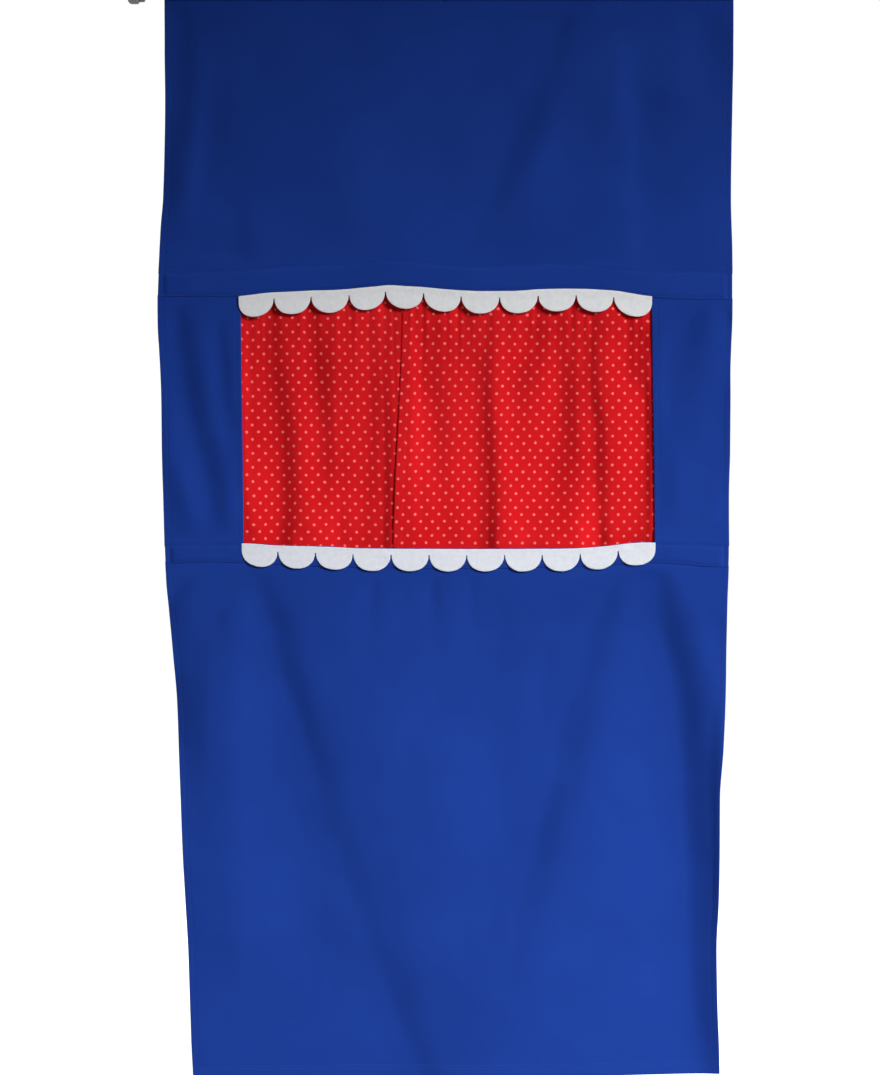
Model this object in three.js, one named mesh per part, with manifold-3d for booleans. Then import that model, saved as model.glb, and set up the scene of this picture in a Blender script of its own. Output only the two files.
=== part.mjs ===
// A doorway puppet theatre: a cloth front with a stage window and a curtain, hung from a telescopic rod.
// Lengths are in millimetres. X runs to the audience's right, Y away from the audience and Z up.
// The rod's axis is the X axis, and the outer face of its left pad is at X zero.

import * as THREE from "three";
import { mergeVertices } from "three/addons/utils/BufferGeometryUtils.js";
import Module from "manifold-3d";

const wasm = await Module();
wasm.setup();

// Fits, and how far cutting bodies run past what they cut
const clearance = 0.3;
const overrun = 2;

// Round pieces and sheets: counts of sides and steps
const roundSides = 28;
const smallSides = 16;
const arcSteps = 5;
const bandSteps = 36;
const panelSteps = 9;
const lowerPanelSteps = 13;
const sideSteps = 8;
const curtainSteps = 8;
const leftGatherSteps = 40;
const rightGatherSteps = 46;
const edgeSteps = 16;
const sleeveSteps = 12;
const stepsPerCurl = 8;
const wireSides = 5;

// The telescopic rod
const rodBeyondCloth = 53;
const outerTubeRadius = 11;
const innerTubeRadius = 8.4;
const tubeWall = 1;
const outerTubeLength = 594;
const innerTubeLength = 640;
const endPressTravel = 12;

// The left end: a wide rubber pad on a plastic socket
const leftPadRadius = 21;
const leftPadLength = 15;
const leftPadFaceRadius = 15.4;
const leftPadRounding = 5.6;
const leftPadHeel = 1.2;
const leftBossRadius = 12;
const leftBossLength = 6;
const leftSocketRadius = 18.6;
const leftSocketLength = 17;
const leftSocketFloor = 3;
const socketWall = 2;

// The right end: a smaller pad and socket on a sprung plunger
const rightPadRadius = 14.5;
const rightPadLength = 9;
const rightPadRounding = 2.5;
const rightBossRadius = 8;
const rightBossLength = 4;
const rightSocketRadius = 13;
const rightSocketLength = 8;
const rightSocketTaper = 3;
const plungerRadius = 5;
const plungerGrip = 4;
const plungerFlangeRadius = 6.9;
const plungerFlangeLength = 4;
const guideLength = 18;
const guideLipLength = 2;
const springRadius = 5.8;
const springWireRadius = 0.75;
const springPitch = 4.6;
const springCurls = 13;
const springSeatLength = 8;

// The twist lock at the inner tube's inner end
const studRadius = 6.6;
const studTipRadius = 4.2;
const studTaperLength = 32;
const studPlugLength = 20;
const studNutRadius = 8.2;
const studNutLength = 4;
const lockSleeveLength = 26;
const lockSlotWidth = 1.6;
const lockSlotLength = 19;
const lockSlots = 4;

// The collar in the outer tube's mouth
const collarLength = 22;
const collarLip = 2.5;

// The cloth front
const clothStart = 52;
const clothWidth = 795;
const clothDrop = 1525;
const clothThickness = 1;
const seamDrop = 15.4;
const upperBandDrop = 397;
const upperBandHeight = 34;
const upperBandRise = 17;
const lowerBandDrop = 779;
const lowerBandHeight = 28;
const lowerBandRise = 6;
const bandThickness = 5.2;
const bandHem = 4;
const battenThickness = 2.2;
const battenInset = 9;
const hemHeight = 16;
const hemThickness = 2.6;
const footSlope = 6;
const windowLeft = 157;
const windowWidth = 577;
const windowLean = 4;
const foldDepth = 15;
const sideFoldDepth = 5;
const lowerFoldDepth = 24;

// The felt trims
const trimStart = 156.5;
const trimWidth = 576.5;
const lowerTrimShift = 4.5;
const trimThickness = 1.2;
const scallops = 11;
const scallopNotchDrop = 10;
const scallopDepth = 22;
const upperTrimForward = 1.6;

// The curtain and its rod
const curtainRodRadius = 3;
const curtainRodDrop = 413;
const curtainRodOverhang = 25;
const loopWidth = 14;
const loopThickness = 1.2;
const loopTabHeight = 22;
const headingThickness = 1;
const curtainBehindWindow = 7;
const curtainMeeting = 384;
const curtainFootDrop = 797;
const curtainPlane = 12;
const curtainFoldDepth = 6.6;
const leadingEdgeWidth = 12;
const leadingEdgeThickness = 1.4;
const leadingEdgeLean = 13;
const leadingEdgeStep = 5;
const leadingTabLength = 5;

// How far the cloth's left and right edges lie inside its width at each share of the way down
const edgeInsetShares = [
  [0, 0, 0],
  [0.194, -0.002, 0.005],
  [0.24, -0.009, 0.002],
  [0.285, -0.0125, 0.002],
  [0.331, -0.009, 0.002],
  [0.377, -0.005, 0.005],
  [0.469, -0.002, 0.005],
  [0.561, 0.005, 0.0105],
  [0.653, 0.021, 0.014],
  [0.745, 0.028, 0.0245],
  [0.836, 0.037, 0.0245],
  [0.928, 0.044, 0.028],
  [1, 0.051, 0.0245],
];

// How much of its rise each band has at each share of the way across
const upperRiseShares = [
  [0, 0],
  [0.14, 0.17],
  [0.24, 0.58],
  [0.31, 0.67],
  [0.41, 1],
  [0.47, 0.83],
  [0.54, 0.5],
  [0.61, 0.58],
  [0.7, 0.75],
  [0.77, 0.5],
  [0.86, 0.17],
  [1, 0],
];
const lowerRiseShares = [
  [0, 0],
  [0.14, 0.5],
  [0.3, -0.4],
  [0.5, -0.8],
  [0.7, -0.5],
  [0.86, 0.8],
  [1, 0.1],
];

// Each fold's line is how far across it runs at each share of the way down. A valley's depth is positive.
const topFoldShares = [
  { line: [[0.02, 0.73], [0.28, 0.68], [0.56, 0.62], [0.82, 0.595]], depth: 1, width: 0.04 },
  { line: [[0.15, 0.8], [0.9, 0.835]], depth: -0.6, width: 0.05 },
  { line: [[-0.1, 0.03], [0.5, 0.03]], depth: 0.5, width: 0.025 },
  { line: [[0.15, 0.075], [0.75, 0.05]], depth: -0.4, width: 0.025 },
  { line: [[0.1, 0.4], [0.9, 0.33]], depth: -0.5, width: 0.12 },
  { line: [[0.05, 0.55], [0.7, 0.47]], depth: -0.5, width: 0.06 },
];
const leftFoldShares = [
  { line: [[0.02, 0.27], [0.29, 0.42], [0.53, 0.6], [0.8, 0.79], [0.98, 0.73]], depth: 1, width: 0.12 },
  { line: [[0.05, 0.6], [0.4, 0.7]], depth: -0.6, width: 0.12 },
  { line: [[0.45, 0.27], [0.85, 0.25]], depth: -0.8, width: 0.14 },
];
const rightFoldShares = [
  { line: [[0.08, 0.6], [0.4, 0.58]], depth: 1, width: 0.14 },
  { line: [[0.1, 0.22], [0.9, 0.25]], depth: -0.6, width: 0.14 },
  { line: [[0.45, 0.7], [0.95, 0.6]], depth: -0.5, width: 0.16 },
];
const lowerFoldShares = [
  {
    line: [[0.01, 0.176], [0.13, 0.206], [0.28, 0.24], [0.54, 0.308], [0.8, 0.391], [1.1, 0.46]],
    depth: 0.9,
    width: 0.045,
  },
  {
    line: [[0.03, 0.883], [0.14, 0.921], [0.28, 0.955], [0.5, 0.975], [1.1, 0.975]],
    depth: 0.7,
    width: 0.03,
  },
  { line: [[0.02, 0.82], [0.15, 0.776], [0.32, 0.741], [0.5, 0.71], [0.8, 0.62]], depth: 0.55, width: 0.055 },
  { line: [[0.05, 0.11], [0.26, 0.035], [0.5, 0.045]], depth: 0.4, width: 0.03 },
  { line: [[0.15, 0.13], [0.5, 0.15], [1.1, 0.2]], depth: -0.6, width: 0.07 },
  { line: [[0.15, 0.86], [0.8, 0.84], [1.1, 0.82]], depth: -0.8, width: 0.08 },
  { line: [[0.2, 0.5], [0.6, 0.5], [1.1, 0.53]], depth: -0.55, width: 0.09 },
  { line: [[0.01, 0.382], [0.16, 0.375]], depth: 0.2, width: 0.02 },
  { line: [[0.01, 0.49], [0.16, 0.495]], depth: 0.2, width: 0.02 },
];

// Each curtain half's folds: where each runs at the heading and at the foot, and how deep it is there
const leftCurtainFoldShares = [
  { top: 0.06, foot: 0.04, depth: -0.7, footDepth: -0.6, width: 0.06 },
  { top: 0.16, foot: 0.21, depth: 0.8, footDepth: 1, width: 0.045 },
  { top: 0.28, foot: 0.33, depth: -0.8, footDepth: -1, width: 0.06 },
  { top: 0.38, foot: 0.43, depth: 0.8, footDepth: 0.3, width: 0.045 },
  { top: 0.5, foot: 0.53, depth: -0.8, footDepth: -0.3, width: 0.06 },
  { top: 0.62, foot: 0.64, depth: 0.7, footDepth: 0.6, width: 0.045 },
  { top: 0.74, foot: 0.75, depth: -0.8, footDepth: -0.7, width: 0.06 },
  { top: 0.86, foot: 0.87, depth: 0.7, footDepth: 0.6, width: 0.045 },
];
const rightCurtainFoldShares = [
  { top: 0.04, foot: 0.05, depth: -0.6, footDepth: -0.7, width: 0.03 },
  { top: 0.11, foot: 0.16, depth: 0.9, footDepth: 0.3, width: 0.03 },
  { top: 0.2, foot: 0.26, depth: -0.8, footDepth: -0.6, width: 0.045 },
  { top: 0.34, foot: 0.37, depth: 1, footDepth: 1, width: 0.028 },
  { top: 0.43, foot: 0.47, depth: -0.8, footDepth: -0.9, width: 0.045 },
  { top: 0.54, foot: 0.57, depth: 0.6, footDepth: 0.2, width: 0.035 },
  { top: 0.66, foot: 0.68, depth: 0.8, footDepth: 0.3, width: 0.03 },
  { top: 0.75, foot: 0.8, depth: 1, footDepth: 1, width: 0.028 },
  { top: 0.84, foot: 0.89, depth: -0.8, footDepth: -0.8, width: 0.04 },
  { top: 0.95, foot: 0.96, depth: 0.8, footDepth: 0.8, width: 0.03 },
];
const foldFadeShare = 0.12;
const headingFoldShare = 0.4;
const slopeShare = 0.002;

// Places worked out from the sizes
const clothEnd = clothStart + clothWidth;
const rodLength = clothEnd + rodBeyondCloth;
const socketStart = leftPadLength + clearance;
const outerTubeStart = socketStart + leftSocketFloor + clearance;
const outerTubeEnd = outerTubeStart + outerTubeLength;
const rightPadStart = rodLength - rightPadLength;
const rightSocketStart = rightPadStart - clearance - rightSocketLength;
const innerTubeEnd = rightSocketStart - endPressTravel - guideLipLength - 2 * clearance;
const innerTubeStart = innerTubeEnd - innerTubeLength;
const innerBore = innerTubeRadius - tubeWall;
const outerBore = outerTubeRadius - tubeWall;
const guideStart = innerTubeEnd - guideLength;
const plungerFlangeEnd = guideStart - clearance;
const plungerFlangeStart = plungerFlangeEnd - plungerFlangeLength;
const springEnd = plungerFlangeStart - clearance - springWireRadius;
const springStart = springEnd - springPitch * springCurls;
const springSeatEnd = springStart - springWireRadius - clearance;
const windowRight = windowLeft + windowWidth;
const sleeveBore = outerTubeRadius + clearance;
const channelThickness = battenThickness + 2 * clearance;
const bandBack = bandThickness / 2;
const loopTabFront = bandBack + clearance;
const loopBore = curtainRodRadius + clearance;
const loopRadius = loopBore + loopThickness;
const curtainRodBack = loopTabFront + loopRadius;
const curtainLeft = windowLeft - curtainBehindWindow;
const curtainRight = windowRight + curtainBehindWindow;
const headingRadius = loopBore + headingThickness;
const curtainTopDrop = curtainRodDrop + headingRadius + clearance;

function finish(name, color, roughness, metalness = 0) {
  return new THREE.MeshStandardMaterial({ name, color, roughness, metalness });
}

const materials = {
  blueCotton: finish("blue_cotton", 0x1c3f94, 0.9),
  redCotton: finish("red_dotted_cotton", 0xc8161e, 0.9),
  whiteFelt: finish("white_felt", 0xd8dce2, 0.95),
  padRubber: finish("pad_rubber", 0x9a9a98, 0.7),
  darkPlastic: finish("socket_plastic", 0x535456, 0.5),
  tubeMetal: finish("tube_metal", 0xb8babd, 0.3, 0.9),
  springSteel: finish("spring_steel", 0x8f9194, 0.35, 1),
  battenPlastic: finish("batten_plastic", 0xe8e6df, 0.5),
};

const theatre = new THREE.Group();

function addPiece(name, geometry, material) {
  const piece = new THREE.Mesh(geometry, material);
  piece.name = name;
  theatre.add(piece);
  return piece;
}

function mix(from, to, share) {
  return from + (to - from) * share;
}

function smooth(share) {
  const held = Math.min(1, Math.max(0, share));
  return held * held * (3 - 2 * held);
}

// The value in a table of shares at a place, eased between the table's rows.
function tableValue(rows, at, column = 1) {
  if (at <= rows[0][0]) return rows[0][column];
  for (let i = 1; i < rows.length; i += 1) {
    const [before, after] = [rows[i - 1], rows[i]];
    if (at <= after[0]) {
      const share = (at - before[0]) / (after[0] - before[0]);
      return mix(before[column], after[column], smooth(share));
    }
  }
  return rows[rows.length - 1][column];
}

// The value on a line through a table's rows, straight between them.
function lineValue(rows, at) {
  let i = 1;
  while (i < rows.length - 1 && at > rows[i][0]) i += 1;
  const [before, after] = [rows[i - 1], rows[i]];
  return mix(before[1], after[1], (at - before[0]) / (after[0] - before[0]));
}

// A geometry with shared corners, without flat triangles and with its faces turned outwards.
function welded(geometry) {
  for (const name of ["uv", "normal"]) geometry.deleteAttribute(name);
  const merged = mergeVertices(geometry);
  const corners = Array.from(merged.index.array);
  const kept = [];
  for (let i = 0; i < corners.length; i += 3) {
    const [a, b, c] = corners.slice(i, i + 3);
    if (a !== b && b !== c && c !== a) kept.push(a, b, c);
  }
  merged.setIndex(kept);
  if (signedVolume(merged) < 0) merged.setIndex(kept.reverse());
  return merged;
}

function signedVolume(geometry) {
  const at = geometry.attributes.position;
  const [a, b, c] = [new THREE.Vector3(), new THREE.Vector3(), new THREE.Vector3()];
  let volume = 0;
  for (let i = 0; i < geometry.index.count; i += 3) {
    a.fromBufferAttribute(at, geometry.index.getX(i));
    b.fromBufferAttribute(at, geometry.index.getX(i + 1));
    c.fromBufferAttribute(at, geometry.index.getX(i + 2));
    volume += a.dot(b.cross(c)) / 6;
  }
  return volume;
}

function solidOf(geometry) {
  const ready = welded(geometry);
  const vertProperties = Float32Array.from(ready.attributes.position.array);
  const triVerts = Uint32Array.from(ready.index.array);
  return new wasm.Manifold(new wasm.Mesh({ numProp: 3, vertProperties, triVerts }));
}

function geometryOf(solid) {
  const mesh = solid.getMesh();
  const geometry = new THREE.BufferGeometry();
  geometry.setAttribute("position", new THREE.BufferAttribute(Float32Array.from(mesh.vertProperties), 3));
  geometry.setIndex(Array.from(mesh.triVerts));
  return geometry;
}

// A body turned about the X axis from a closed profile of [place along X, radius] points.
function turned(profile, sides = roundSides) {
  const points = [...profile, profile[0]].map(([along, radius]) => new THREE.Vector2(radius, along));
  const geometry = new THREE.LatheGeometry(points, sides);
  geometry.rotateZ(-Math.PI / 2);
  return welded(geometry);
}

// The points of an arc in a profile, from one angle to another, the angles in quarter turns.
function arcPoints(along, radius, size, fromQuarter, toQuarter, widening = 1) {
  const points = [];
  for (let i = 0; i <= arcSteps; i += 1) {
    const angle = (mix(fromQuarter, toQuarter, i / arcSteps) * Math.PI) / 2;
    points.push([along + size * Math.cos(angle), radius + size * widening * Math.sin(angle)]);
  }
  return points;
}

// A ring about a line parallel to the X axis.
function ring(start, end, bore, radius, sides = roundSides) {
  return turned([[start, bore], [end, bore], [end, radius], [start, radius]], sides);
}

// A cloth body about a middle surface, which point(across, down) gives for shares from zero to one.
function clothBody(point, acrossSteps, downSteps, thickness = clothThickness) {
  const [front, back] = [[], []];
  for (let j = 0; j <= downSteps; j += 1) {
    for (let i = 0; i <= acrossSteps; i += 1) {
      const [across, down] = [i / acrossSteps, j / downSteps];
      const middle = point(across, down);
      const sideways = point(across + slopeShare, down).sub(point(across - slopeShare, down));
      const downwards = point(across, down + slopeShare).sub(point(across, down - slopeShare));
      const outwards = sideways.cross(downwards).setLength(thickness / 2);
      back.push(middle.clone().add(outwards));
      front.push(middle.clone().sub(outwards));
    }
  }
  const columns = acrossSteps + 1;
  const triangles = [];
  const addTwoSides = (a, b, c) => {
    triangles.push(a, b, c, a + back.length, c + back.length, b + back.length);
  };
  for (let j = 0; j < downSteps; j += 1) {
    for (let i = 0; i < acrossSteps; i += 1) {
      const corner = j * columns + i;
      addTwoSides(corner, corner + 1, corner + columns);
      addTwoSides(corner + 1, corner + columns + 1, corner + columns);
    }
  }
  const rim = rimOf(acrossSteps, downSteps);
  rim.forEach((from, i) => {
    const to = rim[(i + 1) % rim.length];
    triangles.push(from, from + back.length, to + back.length, from, to + back.length, to);
  });
  const geometry = new THREE.BufferGeometry().setFromPoints([...back, ...front]);
  geometry.setIndex(triangles);
  return geometry;
}

// The corners round a grid, in the order in which its back's triangles pass them.
function rimOf(acrossSteps, downSteps) {
  const columns = acrossSteps + 1;
  const rim = [];
  for (let i = 0; i < acrossSteps; i += 1) rim.push(i);
  for (let j = 0; j < downSteps; j += 1) rim.push(j * columns + acrossSteps);
  for (let i = acrossSteps; i > 0; i -= 1) rim.push(downSteps * columns + i);
  for (let j = downSteps; j > 0; j -= 1) rim.push(j * columns);
  return rim;
}

// The rod

function leftEndPad() {
  const shoulder = leftPadRadius - leftPadFaceRadius;
  return turned([
    [0, 0],
    ...arcPoints(leftPadRounding, leftPadFaceRadius, leftPadRounding, 2, 1, shoulder / leftPadRounding),
    [leftPadLength - leftPadHeel, leftPadRadius],
    [leftPadLength, leftPadRadius - leftPadHeel],
    [leftPadLength, leftBossRadius + clearance],
    [leftPadLength - leftBossLength, leftBossRadius + clearance],
    [leftPadLength - leftBossLength, 0],
  ]);
}

function leftEndSocket() {
  const neck = outerTubeRadius + clearance + socketWall;
  const bossStart = leftPadLength - leftBossLength + clearance;
  const end = socketStart + leftSocketLength;
  const spread = leftSocketRadius - neck;
  return turned([
    [bossStart, 0],
    [bossStart, leftBossRadius],
    [socketStart, leftBossRadius],
    ...arcPoints(socketStart, neck, spread, 1, 0),
    [end, neck],
    [end, outerTubeRadius + clearance],
    [outerTubeStart - clearance, outerTubeRadius + clearance],
    [outerTubeStart - clearance, 0],
  ]);
}

function tubeCollar() {
  const bore = innerTubeRadius + clearance;
  const lipStart = outerTubeEnd + clearance;
  return turned([
    [outerTubeEnd - collarLength, bore],
    [lipStart + collarLip, bore],
    [lipStart + collarLip, outerTubeRadius],
    [lipStart, outerTubeRadius],
    [lipStart, outerBore - clearance],
    [outerTubeEnd - collarLength, outerBore - clearance],
  ]);
}

function lockStud() {
  const plugStart = innerTubeStart;
  const collarStart = plugStart - clearance - studNutLength;
  const tip = collarStart - studTaperLength;
  return turned([
    [tip, 0],
    [tip, studTipRadius],
    [collarStart, studRadius],
    [collarStart, studNutRadius],
    [plugStart - clearance, studNutRadius],
    [plugStart - clearance, innerBore - clearance],
    [plugStart + studPlugLength, innerBore - clearance],
    [plugStart + studPlugLength, 0],
  ]);
}

function lockSleeve() {
  const end = innerTubeStart - 2 * clearance - studNutLength;
  const start = end - lockSleeveLength;
  const studAt = (along) => {
    const tip = innerTubeStart - clearance - studNutLength - studTaperLength;
    return mix(studTipRadius, studRadius, (along - tip) / studTaperLength) + clearance;
  };
  const radius = outerBore - clearance;
  let sleeve = solidOf(turned([[start, studAt(start)], [end, studAt(end)], [end, radius], [start, radius]]));
  for (let i = 0; i < lockSlots / 2; i += 1) {
    const slot = new THREE.BoxGeometry(lockSlotLength + overrun, 2 * radius + overrun, lockSlotWidth);
    slot.translate(start + (lockSlotLength - overrun) / 2, 0, 0);
    slot.rotateX((i * 2 * Math.PI) / lockSlots);
    sleeve = sleeve.subtract(solidOf(slot));
  }
  return geometryOf(sleeve);
}

function rightPlunger() {
  const end = rightSocketStart + plungerGrip;
  return turned(
    [
      [plungerFlangeStart, 0],
      [plungerFlangeStart, plungerFlangeRadius],
      [plungerFlangeEnd, plungerFlangeRadius],
      [plungerFlangeEnd, plungerRadius],
      [end, plungerRadius],
      [end, 0],
    ],
    smallSides,
  );
}

function plungerGuide() {
  const bore = plungerRadius + clearance;
  const lipStart = innerTubeEnd + clearance;
  return turned([
    [guideStart, bore],
    [lipStart + guideLipLength, bore],
    [lipStart + guideLipLength, innerTubeRadius],
    [lipStart, innerTubeRadius],
    [lipStart, innerBore - clearance],
    [guideStart, innerBore - clearance],
  ]);
}

function rightEndSocket() {
  const end = rightSocketStart + rightSocketLength;
  const gripEnd = rightSocketStart + plungerGrip + clearance;
  const neck = rightSocketRadius - rightSocketTaper;
  return turned([
    [gripEnd, 0],
    [gripEnd, plungerRadius + clearance],
    [rightSocketStart, plungerRadius + clearance],
    [rightSocketStart, neck],
    [rightSocketStart + rightSocketTaper, rightSocketRadius],
    [end, rightSocketRadius],
    [end, rightBossRadius],
    [end + rightBossLength, rightBossRadius],
    [end + rightBossLength, 0],
  ]);
}

function rightEndPad() {
  const recess = rightPadStart + rightBossLength;
  const faceRadius = rightPadRadius - rightPadRounding;
  return turned([
    [recess, 0],
    [recess, rightBossRadius + clearance],
    [rightPadStart, rightBossRadius + clearance],
    [rightPadStart, rightPadRadius],
    ...arcPoints(rodLength - rightPadRounding, faceRadius, rightPadRounding, 1, 0),
    [rodLength, 0],
  ]);
}

function springPoint(turns) {
  const angle = turns * 2 * Math.PI;
  return new THREE.Vector3(
    springStart + springPitch * turns,
    springRadius * Math.cos(angle),
    springRadius * Math.sin(angle),
  );
}

// The spring's curls, as one unbroken tube of short straight runs.
function endSpring() {
  const points = [];
  const steps = springCurls * stepsPerCurl;
  for (let i = 0; i <= steps; i += 1) {
    const turns = i / stepsPerCurl;
    const middle = springPoint(turns);
    const outwards = new THREE.Vector3(0, middle.y, middle.z).normalize();
    const along = springPoint(turns + slopeShare).sub(springPoint(turns - slopeShare)).normalize();
    const beside = along.clone().cross(outwards);
    for (let k = 0; k < wireSides; k += 1) {
      const angle = (k / wireSides) * 2 * Math.PI;
      const corner = middle.clone().addScaledVector(outwards, springWireRadius * Math.cos(angle));
      points.push(corner.addScaledVector(beside, springWireRadius * Math.sin(angle)));
    }
  }
  const triangles = [];
  for (let i = 0; i < steps; i += 1) {
    for (let k = 0; k < wireSides; k += 1) {
      const [a, b] = [i * wireSides + k, i * wireSides + ((k + 1) % wireSides)];
      triangles.push(a, b, a + wireSides, b, b + wireSides, a + wireSides);
    }
  }
  for (let k = 1; k < wireSides - 1; k += 1) {
    const last = steps * wireSides;
    triangles.push(0, k + 1, k, last, last + k, last + k + 1);
  }
  const geometry = new THREE.BufferGeometry().setFromPoints(points);
  geometry.setIndex(triangles);
  console.log(`end_spring: least gap to itself ${leastSpringGap(points).toFixed(2)} mm`);
  return welded(geometry);
}

// The least distance between points of the spring that are half a curl or more apart along the wire.
function leastSpringGap(points) {
  const apart = (stepsPerCurl / 2) * wireSides;
  let least = Infinity;
  points.forEach((from, i) => {
    for (let j = i + apart; j < points.length; j += 1) least = Math.min(least, from.distanceTo(points[j]));
  });
  return least;
}

// The cloth front

function clothLeftAt(z) {
  return clothStart + clothWidth * tableValue(edgeInsetShares, -z / clothDrop, 1);
}

function clothRightAt(z) {
  return clothEnd - clothWidth * tableValue(edgeInsetShares, -z / clothDrop, 2);
}

const upperBand = {
  drop: upperBandDrop,
  height: upperBandHeight,
  rise: upperBandRise,
  shares: upperRiseShares,
};
const lowerBand = {
  drop: lowerBandDrop,
  height: lowerBandHeight,
  rise: lowerBandRise,
  shares: lowerRiseShares,
};

function bandLeft(band) {
  return clothLeftAt(-band.drop);
}

function bandRight(band) {
  return clothRightAt(-band.drop);
}

// A band's top edge, straight between the stations that every piece sewn to it shares.
function bandTop(band, across) {
  const station = Math.min(bandSteps - 1, Math.max(0, Math.floor(across * bandSteps)));
  const before = tableValue(band.shares, station / bandSteps);
  const after = tableValue(band.shares, (station + 1) / bandSteps);
  return band.rise * mix(before, after, across * bandSteps - station) - band.drop;
}

function bandTopAt(band, x) {
  return bandTop(band, (x - bandLeft(band)) / (bandRight(band) - bandLeft(band)));
}

function bandFootAt(band, x) {
  return bandTopAt(band, x) - band.height;
}

function windowLeftAt(z) {
  return windowLeft + windowLean * smooth((-z - upperBandDrop) / (lowerBandDrop - upperBandDrop));
}

function windowRightAt(z) {
  return windowLeftAt(z) + windowWidth;
}

function clothFoot(across) {
  return footSlope * across - clothDrop;
}

// How deep the folds are at a place of a panel, as a share of its fold depth.
function foldAt(folds, across, down) {
  let depth = 0;
  for (const { line, depth: foldShare, width } of folds) {
    const [start, end] = [line[0][0], line[line.length - 1][0]];
    const fadeIn = smooth((down - start) / foldFadeShare);
    const fadeOut = smooth((end - down) / foldFadeShare);
    const away = (across - lineValue(line, down)) / width;
    depth += foldShare * fadeIn * fadeOut * Math.exp(-away * away);
  }
  return depth;
}

// A panel between two edges and two seams, with folds that die out at its held top.
function panelSurface({ left, right, top, bottom, folds, depth, flatFoot }) {
  return (across, down) => {
    const z = mix(top(across), bottom(across), down);
    const held = smooth(down / foldFadeShare) * (flatFoot ? smooth((1 - down) / foldFadeShare) : 1);
    return new THREE.Vector3(mix(left(z), right(z), across), depth * held * foldAt(folds, across, down), z);
  };
}

const topSurface = panelSurface({
  left: clothLeftAt,
  right: clothRightAt,
  top: () => -seamDrop - clearance,
  bottom: (across) => bandTop(upperBand, across) + clearance,
  folds: topFoldShares,
  depth: foldDepth,
  flatFoot: true,
});

const leftSurface = panelSurface({
  left: clothLeftAt,
  right: windowLeftAt,
  top: (across) => bandFootAt(upperBand, mix(bandLeft(upperBand), windowLeft, across)) - clearance,
  bottom: (across) => bandTopAt(lowerBand, mix(bandLeft(lowerBand), windowLeft, across)) + clearance,
  folds: leftFoldShares,
  depth: sideFoldDepth,
  flatFoot: true,
});

const rightSurface = panelSurface({
  left: windowRightAt,
  right: clothRightAt,
  top: (across) => bandFootAt(upperBand, mix(windowRight, bandRight(upperBand), across)) - clearance,
  bottom: (across) => bandTopAt(lowerBand, mix(windowRight, bandRight(lowerBand), across)) + clearance,
  folds: rightFoldShares,
  depth: sideFoldDepth,
  flatFoot: true,
});

const lowerSurface = panelSurface({
  left: clothLeftAt,
  right: clothRightAt,
  top: (across) => bandTop(lowerBand, across) - lowerBandHeight - clearance,
  bottom: (across) => clothFoot(across),
  folds: lowerFoldShares,
  depth: lowerFoldDepth,
  flatFoot: false,
});

// The share of the lower panel's height that its hem takes, with or without the gap above the hem.
function hemShare(across, gap) {
  const height = bandTop(lowerBand, across) - lowerBandHeight - clearance - clothFoot(across);
  return (hemHeight + gap) / height;
}

function lowerPanel() {
  const point = (across, down) => lowerSurface(across, down * (1 - hemShare(across, clearance)));
  return clothBody(point, bandSteps, lowerPanelSteps);
}

function bottomHem() {
  const point = (across, down) => lowerSurface(across, 1 - hemShare(across, 0) * (1 - down));
  return clothBody(point, bandSteps, 1, hemThickness);
}

// A strip along a band, whose edges lie a margin inside the band's.
function bandStrip({ band, margin, thickness, from, to }) {
  const point = (share, down) => {
    const across = mix(from, to, share);
    const top = bandTop(band, across);
    const x = mix(bandLeft(band), bandRight(band), across);
    return new THREE.Vector3(x, 0, mix(top - margin, top - band.height + margin, down));
  };
  return clothBody(point, bandSteps, 1, thickness);
}

function bandChannel(band) {
  const past = overrun / clothWidth;
  const outside = bandStrip({ band, margin: 0, thickness: bandThickness, from: 0, to: 1 });
  const inside = bandStrip({ band, margin: bandHem, thickness: channelThickness, from: -past, to: 1 + past });
  return geometryOf(solidOf(outside).subtract(solidOf(inside)));
}

function batten(band) {
  const inset = battenInset / clothWidth;
  const margin = bandHem + clearance;
  return bandStrip({ band, margin, thickness: battenThickness, from: inset, to: 1 - inset });
}

// A shape in the Y-Z plane carried along X.
function alongX(shape, start, end) {
  const geometry = new THREE.ExtrudeGeometry(shape, {
    depth: end - start,
    bevelEnabled: false,
    curveSegments: sleeveSteps,
  });
  const turn = new THREE.Matrix4().makeBasis(
    new THREE.Vector3(0, 1, 0),
    new THREE.Vector3(0, 0, 1),
    new THREE.Vector3(1, 0, 0),
  );
  geometry.applyMatrix4(turn);
  geometry.translate(start, 0, 0);
  return geometry;
}

// The casing round the rod: a ring whose lower side runs down to the seam.
function rodSleeve() {
  const radius = sleeveBore + clothThickness;
  const sideAngle = Math.asin(clothThickness / radius);
  const outline = new THREE.Shape();
  outline.moveTo(clothThickness, -seamDrop);
  outline.absarc(0, 0, radius, sideAngle - Math.PI / 2, 1.5 * Math.PI - sideAngle, false);
  outline.lineTo(-clothThickness, -seamDrop);
  const hole = new THREE.Path();
  hole.absarc(0, 0, sleeveBore, 0, 2 * Math.PI, true);
  outline.holes.push(hole);
  return welded(alongX(outline, clothStart, clothEnd));
}

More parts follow.
